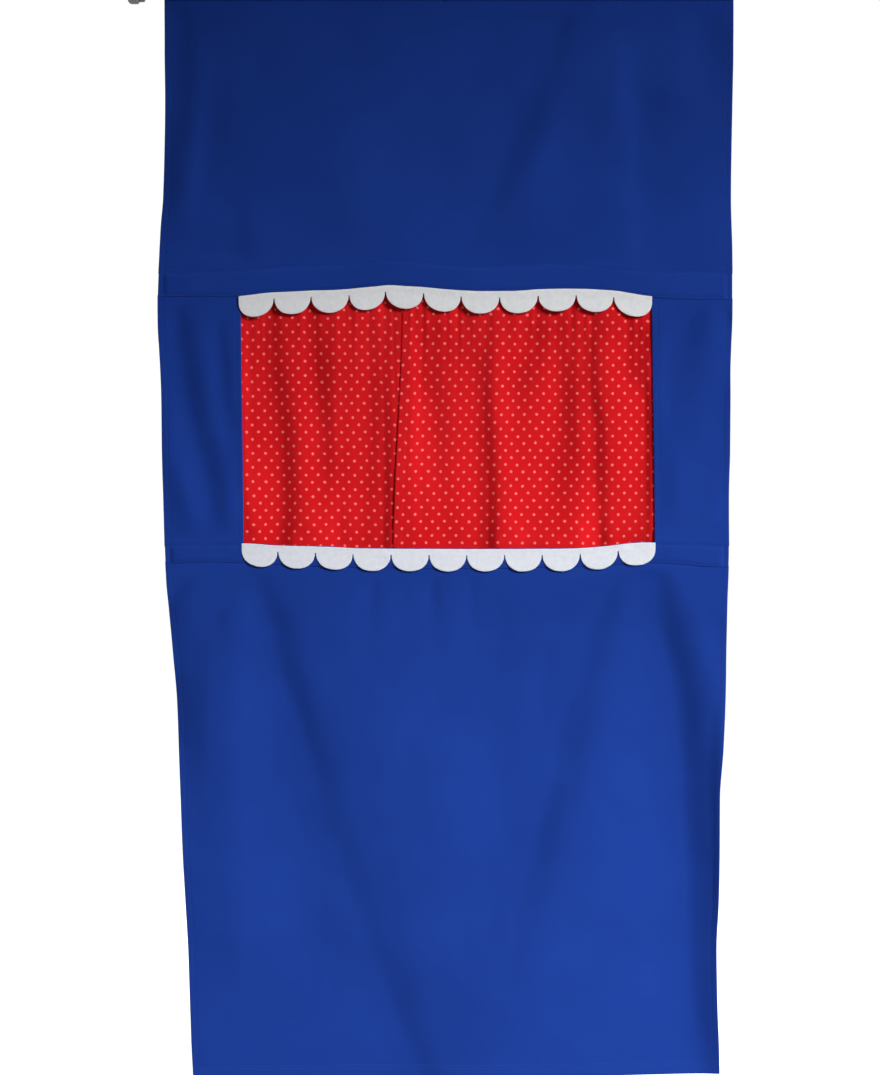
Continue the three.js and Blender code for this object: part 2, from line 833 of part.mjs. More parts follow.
// A felt strip with a row of scallops below it. Its top edge follows edgeAt(x) and turns where the band does.
function scallopTrim(start, band, edgeAt, back) {
  const pitch = trimWidth / scallops;
  const end = start + trimWidth;
  const shape = new THREE.Shape();
  shape.moveTo(start, edgeAt(start) - scallopNotchDrop);
  shape.lineTo(start, edgeAt(start));
  for (let i = 0; i <= bandSteps; i += 1) {
    const x = mix(bandLeft(band), bandRight(band), i / bandSteps);
    if (x > start && x < end) shape.lineTo(x, edgeAt(x));
  }
  shape.lineTo(end, edgeAt(end));
  shape.lineTo(end, edgeAt(end) - scallopNotchDrop);
  for (let i = scallops - 1; i >= 0; i -= 1) addScallop(shape, start + pitch * i, pitch, edgeAt, i === 0);
  const geometry = new THREE.ExtrudeGeometry(shape, { depth: trimThickness, bevelEnabled: false });
  const turn = new THREE.Matrix4().makeBasis(
    new THREE.Vector3(1, 0, 0),
    new THREE.Vector3(0, 0, 1),
    new THREE.Vector3(0, -1, 0),
  );
  geometry.applyMatrix4(turn);
  geometry.translate(0, back, 0);
  return welded(geometry);
}

// One scallop's lower edge, from its right notch to its left one. The last scallop's outline closes by itself.
function addScallop(shape, left, pitch, edgeAt, isLast) {
  const steps = 2 * arcSteps;
  for (let i = 1; i <= steps - (isLast ? 1 : 0); i += 1) {
    const angle = (i / steps) * Math.PI;
    const x = left + (pitch / 2) * (1 + Math.cos(angle));
    shape.lineTo(x, edgeAt(x) - scallopNotchDrop - scallopDepth * Math.sin(angle));
  }
}

function upperTrimTop(x) {
  return bandFootAt(upperBand, x) - clearance;
}

function lowerTrimTop(x) {
  return bandTopAt(lowerBand, x);
}

// The curtain

function aboutCurtainRod(geometry) {
  geometry.translate(0, curtainRodBack, -curtainRodDrop);
  return geometry;
}

function curtainRod() {
  const [start, end] = [windowLeft - curtainRodOverhang, windowRight + curtainRodOverhang];
  return aboutCurtainRod(
    turned([[start, 0], [start, curtainRodRadius], [end, curtainRodRadius], [end, 0]], smallSides),
  );
}

// A solid without the room that the curtain rod runs in.
function boredForRod(solid, start, end) {
  const [from, to] = [start - overrun, end + overrun];
  const room = turned([[from, 0], [from, loopBore], [to, loopBore], [to, 0]], smallSides);
  return geometryOf(solid.subtract(solidOf(aboutCurtainRod(room))));
}

// A cloth loop round the curtain rod, with the tab that is sewn to the band's back.
function rodLoop(middle) {
  const [start, end] = [middle - loopWidth / 2, middle + loopWidth / 2];
  const loop = solidOf(aboutCurtainRod(ring(start, end, loopBore, loopRadius, smallSides)));
  const tab = new THREE.BoxGeometry(loopWidth, loopThickness, loopTabHeight);
  tab.translate(middle, loopTabFront + loopThickness / 2, -curtainRodDrop);
  return boredForRod(loop.add(solidOf(tab)), start, end);
}

function heading(start, end) {
  return aboutCurtainRod(ring(start, end, loopBore, headingRadius, smallSides));
}

// How far a half's leading edge has moved sideways, from none at the rod to all of it at the foot.
function leanAt(down) {
  return leadingEdgeLean * smooth((down - foldFadeShare) / (1 - foldFadeShare));
}

// The plane that a half hangs in: under the rod at the heading, then back or forward by its step.
function hangAt(down, step) {
  return mix(curtainRodBack, curtainPlane + step, smooth(down / foldFadeShare));
}

function curtainZ(down) {
  return mix(-curtainTopDrop, -curtainFootDrop, down);
}

// The gathered folds of a curtain half, shallow at the heading and dying out at both side edges.
function curtainFold(folds, across, down) {
  let depth = 0;
  for (const fold of folds) {
    const away = (across - mix(fold.top, fold.foot, down)) / fold.width;
    depth += mix(fold.depth, fold.footDepth, down) * Math.exp(-away * away);
  }
  const held = smooth(across / foldFadeShare) * smooth((1 - across) / foldFadeShare);
  return curtainFoldDepth * depth * held * mix(headingFoldShare, 1, smooth(down / foldFadeShare));
}

function leftCurtain() {
  const point = (across, down) => {
    const end = curtainMeeting - leadingEdgeWidth - 2 * clearance + leanAt(down);
    const fold = curtainFold(leftCurtainFoldShares, across, down);
    const plane = hangAt(down, leadingEdgeStep * smooth(across));
    return new THREE.Vector3(mix(curtainLeft, end, across), plane + fold, curtainZ(down));
  };
  return clothBody(point, leftGatherSteps, curtainSteps);
}

function rightCurtain() {
  const point = (across, down) => {
    const start = curtainMeeting + leadingEdgeWidth + 2 * clearance - leanAt(down);
    const fold = curtainFold(rightCurtainFoldShares, across, down);
    const plane = hangAt(down, -leadingEdgeStep * smooth(1 - across));
    return new THREE.Vector3(mix(start, curtainRight, across), plane + fold, curtainZ(down));
  };
  return clothBody(point, rightGatherSteps, curtainSteps);
}

// A half's hemmed leading edge, with the piece of casing that carries it on the rod.
function leadingEdge(side) {
  const inner = curtainMeeting + side * clearance;
  const outer = inner + side * leadingEdgeWidth;
  const [start, end] = [Math.min(inner, outer), Math.max(inner, outer)];
  const point = (across, down) => {
    const x = mix(start, end, across) - side * leanAt(down);
    return new THREE.Vector3(x, hangAt(down, -side * leadingEdgeStep), curtainZ(down));
  };
  const casing = solidOf(aboutCurtainRod(ring(start, end, loopBore, headingRadius, smallSides)));
  const strip = solidOf(clothBody(point, 1, edgeSteps, leadingEdgeThickness));
  const tab = new THREE.BoxGeometry(end - start, leadingEdgeThickness, leadingTabLength);
  tab.translate((start + end) / 2, curtainRodBack, -curtainTopDrop + clearance / 2);
  return boredForRod(casing.add(solidOf(tab)).add(strip), start, end);
}

addPiece("left_end_pad", leftEndPad(), materials.padRubber);
addPiece("left_end_socket", leftEndSocket(), materials.darkPlastic);
addPiece("outer_tube", ring(outerTubeStart, outerTubeEnd, outerBore, outerTubeRadius), materials.tubeMetal);
addPiece("tube_collar", tubeCollar(), materials.darkPlastic);
addPiece("lock_sleeve", lockSleeve(), materials.darkPlastic);
addPiece("lock_stud", lockStud(), materials.darkPlastic);
addPiece("inner_tube", ring(innerTubeStart, innerTubeEnd, innerBore, innerTubeRadius), materials.tubeMetal);
addPiece(
  "spring_seat",
  turned([
    [springSeatEnd - springSeatLength, 0],
    [springSeatEnd - springSeatLength, innerBore - clearance],
    [springSeatEnd, innerBore - clearance],
    [springSeatEnd, 0],
  ]),
  materials.darkPlastic,
);
addPiece("end_spring", endSpring(), materials.springSteel);
addPiece("right_plunger", rightPlunger(), materials.darkPlastic);
addPiece("plunger_guide", plungerGuide(), materials.darkPlastic);
addPiece("right_end_socket", rightEndSocket(), materials.darkPlastic);
addPiece("right_end_pad", rightEndPad(), materials.padRubber);

addPiece("rod_sleeve", rodSleeve(), materials.blueCotton);
addPiece("top_panel", clothBody(topSurface, bandSteps, panelSteps), materials.blueCotton);
addPiece("upper_band", bandChannel(upperBand), materials.blueCotton);
addPiece("upper_batten", batten(upperBand), materials.battenPlastic);
addPiece("left_side_panel", clothBody(leftSurface, sideSteps, panelSteps), materials.blueCotton);
addPiece("right_side_panel", clothBody(rightSurface, sideSteps, panelSteps), materials.blueCotton);
addPiece("lower_band", bandChannel(lowerBand), materials.blueCotton);
addPiece("lower_batten", batten(lowerBand), materials.battenPlastic);
addPiece("lower_panel", lowerPanel(), materials.blueCotton);
addPiece("bottom_hem", bottomHem(), materials.blueCotton);
addPiece(
  "upper_scallop_trim",
  scallopTrim(trimStart, upperBand, upperTrimTop, -upperTrimForward),
  materials.whiteFelt,
);
addPiece(
  "lower_scallop_trim",
  scallopTrim(trimStart + lowerTrimShift, lowerBand, lowerTrimTop, -bandThickness / 2 - clearance),
  materials.whiteFelt,
);

addPiece("curtain_rod", curtainRod(), materials.tubeMetal);
addPiece("left_rod_loop", rodLoop(curtainLeft - loopWidth / 2 - clearance), materials.blueCotton);
addPiece("right_rod_loop", rodLoop(curtainRight + loopWidth / 2 + clearance), materials.blueCotton);
addPiece(
  "left_heading",
  heading(curtainLeft, curtainMeeting - leadingEdgeWidth - 2 * clearance),
  materials.redCotton,
);
addPiece(
  "right_heading",
  heading(curtainMeeting + leadingEdgeWidth + 2 * clearance, curtainRight),
  materials.redCotton,
);
addPiece("left_curtain", leftCurtain(), materials.redCotton);
addPiece("right_curtain", rightCurtain(), materials.redCotton);
addPiece("left_leading_edge", leadingEdge(-1), materials.redCotton);
addPiece("right_leading_edge", leadingEdge(1), materials.redCotton);

export default theatre;
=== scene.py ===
"""A doorway puppet theatre: a blue cloth front with a stage window and a gathered dotted curtain.

Lengths are in metres. X runs to the audience's right, Y away from the audience and Z up, and the
rod's axis is the X axis. Places named in pixels are places in the photograph, which shows the cloth
at one pixel to PIXEL metres.
"""

import math

import bpy
import numpy as np
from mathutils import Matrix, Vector


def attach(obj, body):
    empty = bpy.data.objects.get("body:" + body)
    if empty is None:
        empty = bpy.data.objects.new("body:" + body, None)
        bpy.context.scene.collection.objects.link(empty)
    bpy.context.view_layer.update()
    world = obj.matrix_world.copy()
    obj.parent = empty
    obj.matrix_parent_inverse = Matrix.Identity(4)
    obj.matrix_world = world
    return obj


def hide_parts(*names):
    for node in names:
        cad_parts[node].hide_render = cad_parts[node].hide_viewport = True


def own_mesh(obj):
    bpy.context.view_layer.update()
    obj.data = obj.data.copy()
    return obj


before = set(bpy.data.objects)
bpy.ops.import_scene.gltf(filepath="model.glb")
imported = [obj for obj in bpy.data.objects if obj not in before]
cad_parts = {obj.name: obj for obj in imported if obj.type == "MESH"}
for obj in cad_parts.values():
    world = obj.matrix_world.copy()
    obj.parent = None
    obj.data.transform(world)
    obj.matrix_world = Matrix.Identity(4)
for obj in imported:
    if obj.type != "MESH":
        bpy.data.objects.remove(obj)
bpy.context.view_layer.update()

MM = 0.001

# The photograph's size and scale, and the column and row of the rod's left end in it
PIXEL = 0.0014
ROD_COLUMN = 128
ROD_ROW = -11
PHOTO_WIDTH = 880
PHOTO_HEIGHT = 1075


def x_at(column):
    return (column - ROD_COLUMN) * PIXEL


def z_at(row):
    return (ROD_ROW - row) * PIXEL


def column_at(x):
    return x / PIXEL + ROD_COLUMN


def row_at(z):
    return ROD_ROW - z / PIXEL


# Helpers for curves and for seeded unevenness

RIPPLE_COUNT = 1024
CRUMPLE_COUNT = 128


def mix(first, last, share):
    return first + (last - first) * share


def smooth(share):
    held = np.clip(share, 0, 1)
    return held * held * (3 - 2 * held)


def bump(away):
    return np.exp(-away * away)


def curve(rows, column=1):
    """A smooth function through a table's rows that never swings past them."""
    at = np.array([row[0] for row in rows], float)
    value = np.array([row[column] for row in rows], float)
    step = np.diff(at)
    slope = np.diff(value) / step
    tangent = np.concatenate([slope[:1], np.zeros(len(at) - 2), slope[-1:]])
    for i in range(1, len(at) - 1):
        before, after = slope[i - 1], slope[i]
        if before * after > 0:
            tangent[i] = 2 * before * after / (before + after)

    def value_at(place):
        place = np.clip(place, at[0], at[-1])
        i = np.clip(np.searchsorted(at, place) - 1, 0, len(at) - 2)
        share = (place - at[i]) / step[i]
        square = share * share
        cube = square * share
        return (
            value[i] * (2 * cube - 3 * square + 1)
            + value[i + 1] * (3 * square - 2 * cube)
            + tangent[i] * step[i] * (cube - 2 * square + share)
            + tangent[i + 1] * step[i] * (cube - square)
        )

    return value_at


def ripples(place, pitch, seed):
    """Smooth uneven numbers from -1 to 1 along a line, with one turn about every two pitches."""
    table = np.random.default_rng(seed).uniform(-1, 1, RIPPLE_COUNT)
    at = np.asarray(place, float) / pitch
    i = np.floor(at).astype(int)
    return mix(table[i % RIPPLE_COUNT], table[(i + 1) % RIPPLE_COUNT], smooth(at - i))


def crumple(across, down, pitch_across, pitch_down, seed):
    """Smooth uneven numbers from -1 to 1 over a surface."""
    table = np.random.default_rng(seed).uniform(-1, 1, (CRUMPLE_COUNT, CRUMPLE_COUNT))
    a, b = np.asarray(across) / pitch_across, np.asarray(down) / pitch_down
    left, top = np.floor(a).astype(int), np.floor(b).astype(int)
    s, t = smooth(a - left), smooth(b - top)
    i, next_i = left % CRUMPLE_COUNT, (left + 1) % CRUMPLE_COUNT
    j, next_j = top % CRUMPLE_COUNT, (top + 1) % CRUMPLE_COUNT
    return mix(mix(table[i, j], table[next_i, j], s), mix(table[i, next_j], table[next_i, next_j], s), t)


# Helpers for meshes, where a part is a tuple of points, faces and the points' flat places


def normalised(vectors):
    length = np.linalg.norm(vectors, axis=-1, keepdims=True)
    return vectors / np.maximum(length, 1e-12)


def outwards_of(middle):
    """The directions out of a grid's front, whose rows run downwards and whose columns to the right."""
    return normalised(np.cross(np.gradient(middle, axis=0), np.gradient(middle, axis=1)))


def length_along(*coordinates):
    """How far along a line each of its points lies."""
    steps = np.linalg.norm(np.diff(np.stack(coordinates, -1), axis=0), axis=1)
    return np.concatenate([[0], np.cumsum(steps)])


def ring_faces(before, after):
    """The faces between rings of point numbers, each of which closes on itself."""
    corners = [before, np.roll(before, -1, 1), np.roll(after, -1, 1), after]
    return np.stack([corner.ravel() for corner in corners], 1)


def sheet_part(middle, flat, front, back):
    """A sheet of cloth about a grid of middle points, with a rounded rim.

    The front and back are how far each face lies from the middle, and flat is each point's place in
    the cut cloth.
    """
    rows, columns = middle.shape[:2]
    count = rows * columns
    outwards = outwards_of(middle)
    front = np.broadcast_to(front, (rows, columns))[..., None]
    back = np.broadcast_to(back, (rows, columns))[..., None]
    faces_out = (middle + outwards * front).reshape(-1, 3)
    faces_in = (middle - outwards * back).reshape(-1, 3)
    flat = flat.reshape(-1, 2)
    index = np.arange(count).reshape(rows, columns)
    rim = np.concatenate([index[0, :-1], index[:-1, -1], index[-1, :0:-1], index[:0:-1, 0]])
    edge = middle.reshape(-1, 3)[rim]
    out = outwards.reshape(-1, 3)[rim]
    away = np.cross(out, normalised(np.roll(edge, -1, 0) - np.roll(edge, 1, 0)))
    half = (front + back).reshape(-1, 1)[rim] / 2
    centre = (faces_out[rim] + faces_in[rim]) / 2
    points = [faces_out, faces_in]
    places = [flat, flat]
    rings = [rim]
    for turn in np.radians((45, 90, 135)):
        rings.append(2 * count + len(rim) * (len(rings) - 1) + np.arange(len(rim)))
        points.append(centre + (away * math.sin(turn) + out * math.cos(turn)) * half)
        places.append(flat[rim])
    rings.append(rim + count)
    a, b = index[:-1, :-1].ravel(), index[1:, :-1].ravel()
    c, d = index[1:, 1:].ravel(), index[:-1, 1:].ravel()
    faces = [np.stack([a, b, c, d], 1), np.stack([a, d, c, b], 1) + count]
    for outer, inner in zip(rings, rings[1:]):
        faces.append(ring_faces(outer[None], inner[None]))
    return np.concatenate(points), np.concatenate(faces), np.concatenate(places)


def joined(first, second):
    """Two parts as one."""
    faces = np.concatenate([first[1], second[1] + len(first[0])])
    return np.concatenate([first[0], second[0]]), faces, np.concatenate([first[2], second[2]])


def piece(name, part, material, body, replaced=None):
    """A smooth mesh object from a part, riding on a body, which can stand for a CAD node.

    A face that names a corner twice in a row is a triangle.
    """
    points, faces, places = part
    mesh = bpy.data.meshes.new(name)
    mesh.from_pydata(points.tolist(), [], [list(dict.fromkeys(face)) for face in faces.tolist()])
    layer = mesh.uv_layers.new(name="flat")
    corners = np.zeros(len(mesh.loops), np.int32)
    mesh.loops.foreach_get("vertex_index", corners)
    layer.data.foreach_set("uv", places[corners].astype(np.float32).ravel())
    mesh.polygons.foreach_set("use_smooth", np.ones(len(mesh.polygons), bool))
    mesh.materials.append(material)
    mesh.validate()
    made = bpy.data.objects.new(name, mesh)
    bpy.context.scene.collection.objects.link(made)
    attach(made, body)
    if replaced:
        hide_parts(replaced)
    return made


def lathe_part(profile, sides, flute=None):
    """A body turned about the X axis from a closed profile of (along, radius) points in millimetres.

    Profile points with a radius of zero close the body on its axis. A flute is a function of the
    angle and the place along that gives how far the surface lies in from its radius.
    """
    profile = np.array(profile, float) * MM
    turn = np.linspace(0, 2 * math.pi, sides, endpoint=False)[None, :]
    along = profile[:, :1] + 0 * turn
    radius = profile[:, 1:] + 0 * turn
    if flute is not None:
        radius = radius - flute(turn, along) * (radius > 0)
    points = np.stack([along, radius * np.cos(turn), radius * np.sin(turn)], -1).reshape(-1, 3)
    index = np.arange(len(profile) * sides).reshape(len(profile), sides)
    faces = ring_faces(index, np.roll(index, -1, 0))
    if profile[0, 1] == 0:
        faces = faces[:-sides]
    length = length_along(*profile.T)[:, None]
    places = np.stack([length + 0 * turn, profile[:, 1].max() * turn + 0 * length], -1).reshape(-1, 2)
    return points, faces, places


def rounded(corners, size, steps):
    """A closed profile of (along, radius) corners, rounded by one size or by one of their own."""
    made = []
    count = len(corners)
    for i, corner in enumerate(corners):
        here = np.array(corner[:2], float)
        own_size = corner[2] if len(corner) > 2 else size
        if here[1] == 0:
            made.append(tuple(here))
            continue
        before = np.array(corners[i - 1][:2], float)
        after = np.array(corners[(i + 1) % count][:2], float)
        start = here + (before - here) / np.linalg.norm(before - here) * own_size
        end = here + (after - here) / np.linalg.norm(after - here) * own_size
        for share in np.linspace(0, 1, steps + 1):
            made.append(tuple(mix(mix(start, here, share), mix(here, end, share), share)))
    return made


# Stitches

THREAD_RADIUS = 0.2 * MM
STITCH_PITCH = 2.8 * MM
STITCH_SHARE = 0.66
THREAD_SIDES = 5

# Along a stitch, how high its middle lies above the cloth and how thick it is, in radii
STITCH_LIFT = np.array([-0.6, 0.35, 0.7, 0.35, -0.6])
STITCH_WIDTH = np.array([0.45, 0.95, 1.0, 0.95, 0.45])


def stitch_part(runs):
    """Stitches along runs of surface points, each run with the surface's outward directions."""
    turn = np.linspace(0, 2 * math.pi, THREAD_SIDES, endpoint=False)[:, None]
    within = mix(0.5 - STITCH_SHARE / 2, 0.5 + STITCH_SHARE / 2, np.linspace(0, 1, len(STITCH_LIFT)))
    points = []
    for line, outwards in runs:
        length = length_along(*line.T)
        count = int(length[-1] / STITCH_PITCH)
        at = (np.arange(count)[:, None] + within) * STITCH_PITCH
        place = np.stack([np.interp(at, length, values) for values in line.T], -1)
        out = normalised(np.stack([np.interp(at, length, values) for values in outwards.T], -1))
        beside = normalised(np.cross(normalised(np.gradient(place, axis=1)), out))
        middle = place + out * (STITCH_LIFT * THREAD_RADIUS)[:, None]
        ring = out[:, :, None] * np.cos(turn) + beside[:, :, None] * np.sin(turn)
        ring = ring * (STITCH_WIDTH * THREAD_RADIUS)[:, None, None]
        points.append((middle[:, :, None] + ring).reshape(count, -1, 3))
    points = np.concatenate(points)
    index = np.arange(points.shape[1]).reshape(-1, THREAD_SIDES)
    first, last = index[0], index[-1]
    ends = [first[[3, 2, 1, 0]], last[[0, 1, 2, 3]], first[[4, 3, 0, 0]], last[[3, 4, 0, 0]]]
    faces = np.concatenate([ring_faces(index[:-1], index[1:]), ends])
    starts = np.arange(len(points)) * points.shape[1]
    points = points.reshape(-1, 3)
    return points, (faces + starts[:, None, None]).reshape(-1, 4), points[:, [0, 2]]


runs_blue = []


def stitched(line, outwards, front, back=None):
    """Keeps a run of blue stitches on the front of a line of cloth, and on its back if that is given."""
    runs_blue.append((line + outwards * front, outwards))
    if back is not None:
        runs_blue.append((line - outwards * back, -outwards))


# Materials


class Nodes:
    """The node tree of a material or of the world, with short calls for the nodes used here."""

    def __init__(self, owner):
        self.owner = owner
        owner.use_nodes = True
        self.tree = owner.node_tree
        self.tree.nodes.clear()

    def node(self, kind, inputs=None, **settings):
        made = self.tree.nodes.new(kind)
        for key, value in settings.items():
            setattr(made, key, value)
        for key, value in (inputs or {}).items():
            if isinstance(value, bpy.types.NodeSocket):
                self.tree.links.new(value, made.inputs[key])
            else:
                made.inputs[key].default_value = value
        return made

    def math(self, operation, *values):
        return self.node("ShaderNodeMath", dict(enumerate(values)), operation=operation).outputs[0]

    def vector(self, operation, *values):
        made = self.node("ShaderNodeVectorMath", dict(enumerate(values)), operation=operation)
        return made.outputs["Value" if operation == "LENGTH" else "Vector"]

    def flat(self):
        return self.node("ShaderNodeUVMap", uv_map="flat").outputs["UV"]

    def solid(self):
        return self.node("ShaderNodeTexCoord").outputs["Object"]

    def noise(self, place, scale, detail=3.0, roughness=0.55):
        inputs = {"Vector": place, "Scale": scale, "Detail": detail, "Roughness": roughness}
        return self.node("ShaderNodeTexNoise", inputs).outputs["Fac"]

    def ramp(self, value, low, high, to_low=0.0, to_high=1.0):
        inputs = {"Value": value, "From Min": low, "From Max": high, "To Min": to_low, "To Max": to_high}
        return self.node("ShaderNodeMapRange", inputs).outputs["Result"]

    def blend(self, share, first, second):
        """A mix of two colours."""
        return self.node("ShaderNodeMix", {0: share, 6: first, 7: second}, data_type="RGBA").outputs[2]

    def choose(self, share, first, second):
        """A mix of two numbers."""
        return self.node("ShaderNodeMix", {0: share, 2: first, 3: second}, data_type="FLOAT").outputs[0]

    def bumps(self, height, distance, strength=1.0, **others):
        inputs = {"Height": height, "Distance": distance, "Strength": strength, **others}
        return self.node("ShaderNodeBump", inputs).outputs["Normal"]

    def where_seen(self, lit, shown):
        """One shader for the light, and another for what the camera sees, also in gloss or glass."""
        rays = self.node("ShaderNodeLightPath").outputs
        seen = self.math("MAXIMUM", rays["Is Camera Ray"], rays["Is Glossy Ray"])
        seen = self.math("MAXIMUM", seen, rays["Is Transmission Ray"])
        return self.node("ShaderNodeMixShader", {0: seen, 1: lit.outputs[0], 2: shown.outputs[0]})

    def surface(self, shader, output="ShaderNodeOutputMaterial"):
        self.node(output, {"Surface": shader.outputs[0]})
        return self.owner

    def finish(self, **inputs):
        named = {key.replace("_", " "): value for key, value in inputs.items()}
        return self.surface(self.node("ShaderNodeBsdfPrincipled", named))


def material_nodes(name):
    return Nodes(bpy.data.materials.new(name))


def colour(red, green, blue):
    """A colour written as in a picture, as the shader's own numbers."""
    steps = [value / 255 for value in (red, green, blue)]
    return tuple(v / 12.92 if v <= 0.04045 else ((v + 0.055) / 1.055) ** 2.4 for v in steps) + (1.0,)


WEAVE_PITCH = 0.42 * MM
SLUB_SCALE = 22.0
DOT_PITCH = 16.8 * MM
DOT_ROWS = 10 * MM
DOT_SIZE = 3.85 * MM
DOT_BLUR = 0.3 * MM
DOT_WOBBLE = 0.12 * MM
DOT_COLOUR = colour(254, 117, 112)


def weave(nodes, place):
    """The height of a plain weave, and how light each thread is, from a cloth's flat place."""
    parts = nodes.node("ShaderNodeSeparateXYZ", {0: place}).outputs
    turns = [nodes.math("MULTIPLY", parts[i], math.pi / WEAVE_PITCH) for i in (0, 1)]
    warp, weft = (nodes.math("SINE", turn) for turn in turns)
    over = nodes.math("GREATER_THAN", nodes.math("MULTIPLY", warp, weft), 0.0)
    raised = nodes.choose(over, nodes.math("ABSOLUTE", warp), nodes.math("ABSOLUTE", weft))
    along_warp = nodes.noise(nodes.vector("MULTIPLY", place, (1 / WEAVE_PITCH, SLUB_SCALE, 1.0)), 1.0)
    along_weft = nodes.noise(nodes.vector("MULTIPLY", place, (SLUB_SCALE, 1 / WEAVE_PITCH, 1.0)), 1.0)
    return raised, nodes.choose(over, along_warp, along_weft)


def dotted(nodes, place, ground):
    """Printed dots in rows, each row set half a pitch along from the last."""
    width, height = DOT_PITCH, 2 * DOT_ROWS
    away = []
    for shift in ((0.0, 0.0, 0.0), (width / 2, height / 2, 0.0)):
        moved = nodes.vector("ADD", place, shift)
        share = nodes.vector("FRACTION", nodes.vector("DIVIDE", moved, (width, height, 1.0)))
        from_middle = nodes.vector("SUBTRACT", share, (0.5, 0.5, 0.0))
        away.append(nodes.vector("LENGTH", nodes.vector("MULTIPLY", from_middle, (width, height, 0.0))))
    nearest = nodes.math("MINIMUM", *away)
    edge = nodes.noise(place, 900.0, 2.0)
    uneven = nodes.math("ADD", nearest, nodes.ramp(edge, 0.3, 0.7, -DOT_WOBBLE, DOT_WOBBLE))
    printed = nodes.ramp(uneven, DOT_SIZE / 2 - DOT_BLUR, DOT_SIZE / 2 + DOT_BLUR, 0.96, 0.0)
    return nodes.blend(printed, ground, DOT_COLOUR)


def cotton(name, light, dark, worn, has_dots):
    """Plain woven cotton, with thicker and thinner threads, faint creases and scattered worn fibres."""
    nodes = material_nodes(name)
    place = nodes.flat()
    raised, threads = weave(nodes, place)
    broad = nodes.noise(place, 7.0, 2.0)
    mottled = nodes.blend(nodes.ramp(broad, 0.3, 0.7), dark, light)
    threaded = nodes.blend(nodes.ramp(threads, 0.3, 0.75, 0.0, 0.45), mottled, dark)
    fuzz = nodes.noise(place, 420.0, 4.0)
    base = nodes.blend(nodes.ramp(fuzz, 0.55, 0.8, 0.0, 0.25), threaded, worn)
    if has_dots:
        base = dotted(nodes, place, base)
    wrinkles = nodes.noise(nodes.vector("MULTIPLY", place, (1.0, 0.45, 1.0)), 38.0)
    wrinkled = nodes.bumps(wrinkles, 0.9 * MM, 0.5)
    return nodes.finish(
        Base_Color=base,
        Roughness=nodes.ramp(fuzz, 0.3, 0.7, 0.82, 0.96),
        Normal=nodes.bumps(raised, 0.05 * MM, 0.5, Normal=wrinkled),
        Sheen_Weight=0.01,
        Sheen_Roughness=0.5,
        Specular_IOR_Level=0.06,
    )


def felt(name, shade, tone, strand):
    """Pressed felt, with fine fibres, soft lumps painted darker in their hollows as painted shade, and
    swirls of paler and darker strands.
    """
    nodes = material_nodes(name)
    place = nodes.flat()
    fibres = nodes.noise(nodes.vector("MULTIPLY", place, (1.0, 1.6, 1.0)), 900.0, 6.0, 0.7)
    lumps = nodes.noise(place, 140.0)
    swirled = {"Vector": place, "Scale": 260.0, "Detail": 5.0, "Distortion": 2.5}
    swirl = nodes.node("ShaderNodeTexNoise", swirled).outputs["Fac"]
    mottled = nodes.blend(nodes.ramp(lumps, 0.3, 0.7), shade, tone)
    height = nodes.math("ADD", nodes.math("MULTIPLY", fibres, 0.5), lumps)
    return nodes.finish(
        Base_Color=nodes.blend(nodes.ramp(swirl, 0.35, 0.65, 0.0, 0.5), mottled, strand),
        Roughness=nodes.ramp(fibres, 0.3, 0.7, 0.9, 1.0),
        Normal=nodes.bumps(height, 0.35 * MM, 0.7),
        Sheen_Weight=0.08,
        Sheen_Roughness=0.6,
        Specular_IOR_Level=0.1,
    )


def thread(name, tone, shade):
    """Twisted sewing thread, painted darker in the grooves of its twist as painted shade."""
    nodes = material_nodes(name)
    twisted = {"Vector": nodes.solid(), "Scale": 1500.0, "Distortion": 1.0, "Detail": 2.0}
    twist = nodes.node("ShaderNodeTexWave", twisted, bands_direction="DIAGONAL").outputs["Fac"]
    return nodes.finish(
        Base_Color=nodes.blend(twist, shade, tone),
        Roughness=0.6,
        Normal=nodes.bumps(twist, 0.05 * MM),
        Sheen_Weight=0.15,
        Specular_IOR_Level=0.35,
    )


def moulded(name, tone, pale, roughness, grain, scuffs):
    """Moulded rubber or plastic with a fine grain, flow marks and scattered scuffs."""
    nodes = material_nodes(name)
    place = nodes.solid()
    fine = nodes.noise(place, 2200.0)
    broad = nodes.noise(place, 60.0, 4.0, 0.6)
    marks = nodes.noise(nodes.vector("MULTIPLY", place, (1.0, 6.0, 2.0)), 110.0, 5.0, 0.65)
    mottled = nodes.blend(nodes.ramp(broad, 0.3, 0.7, 0.0, 0.35), tone, pale)
    return nodes.finish(
        Base_Color=nodes.blend(nodes.ramp(marks, 0.56, 0.72, 0.0, scuffs), mottled, pale),
        Roughness=nodes.ramp(marks, 0.35, 0.75, roughness - 0.08, roughness + 0.12),
        Normal=nodes.bumps(fine, grain, 0.6),
        Specular_IOR_Level=0.4,
    )


def metal(name, tone, roughness):
    """Drawn steel, with fine lines along it and a few dull spots."""
    nodes = material_nodes(name)
    place = nodes.solid()
    lines = nodes.noise(nodes.vector("MULTIPLY", place, (6.0, 900.0, 900.0)), 1.0, 4.0, 0.6)
    spots = nodes.noise(place, 45.0, 5.0, 0.65)
    dull = nodes.ramp(spots, 0.5, 0.75, 0.0, 0.5)
    lined = nodes.ramp(lines, 0.3, 0.7, roughness - 0.05, roughness + 0.12)
    return nodes.finish(
        Base_Color=nodes.blend(dull, tone, tuple(0.72 * v for v in tone[:3]) + (1.0,)),
        Metallic=1.0,
        Roughness=nodes.math("ADD", lined, nodes.math("MULTIPLY", dull, 0.2)),
        Normal=nodes.bumps(lines, 0.03 * MM, 0.4),
    )


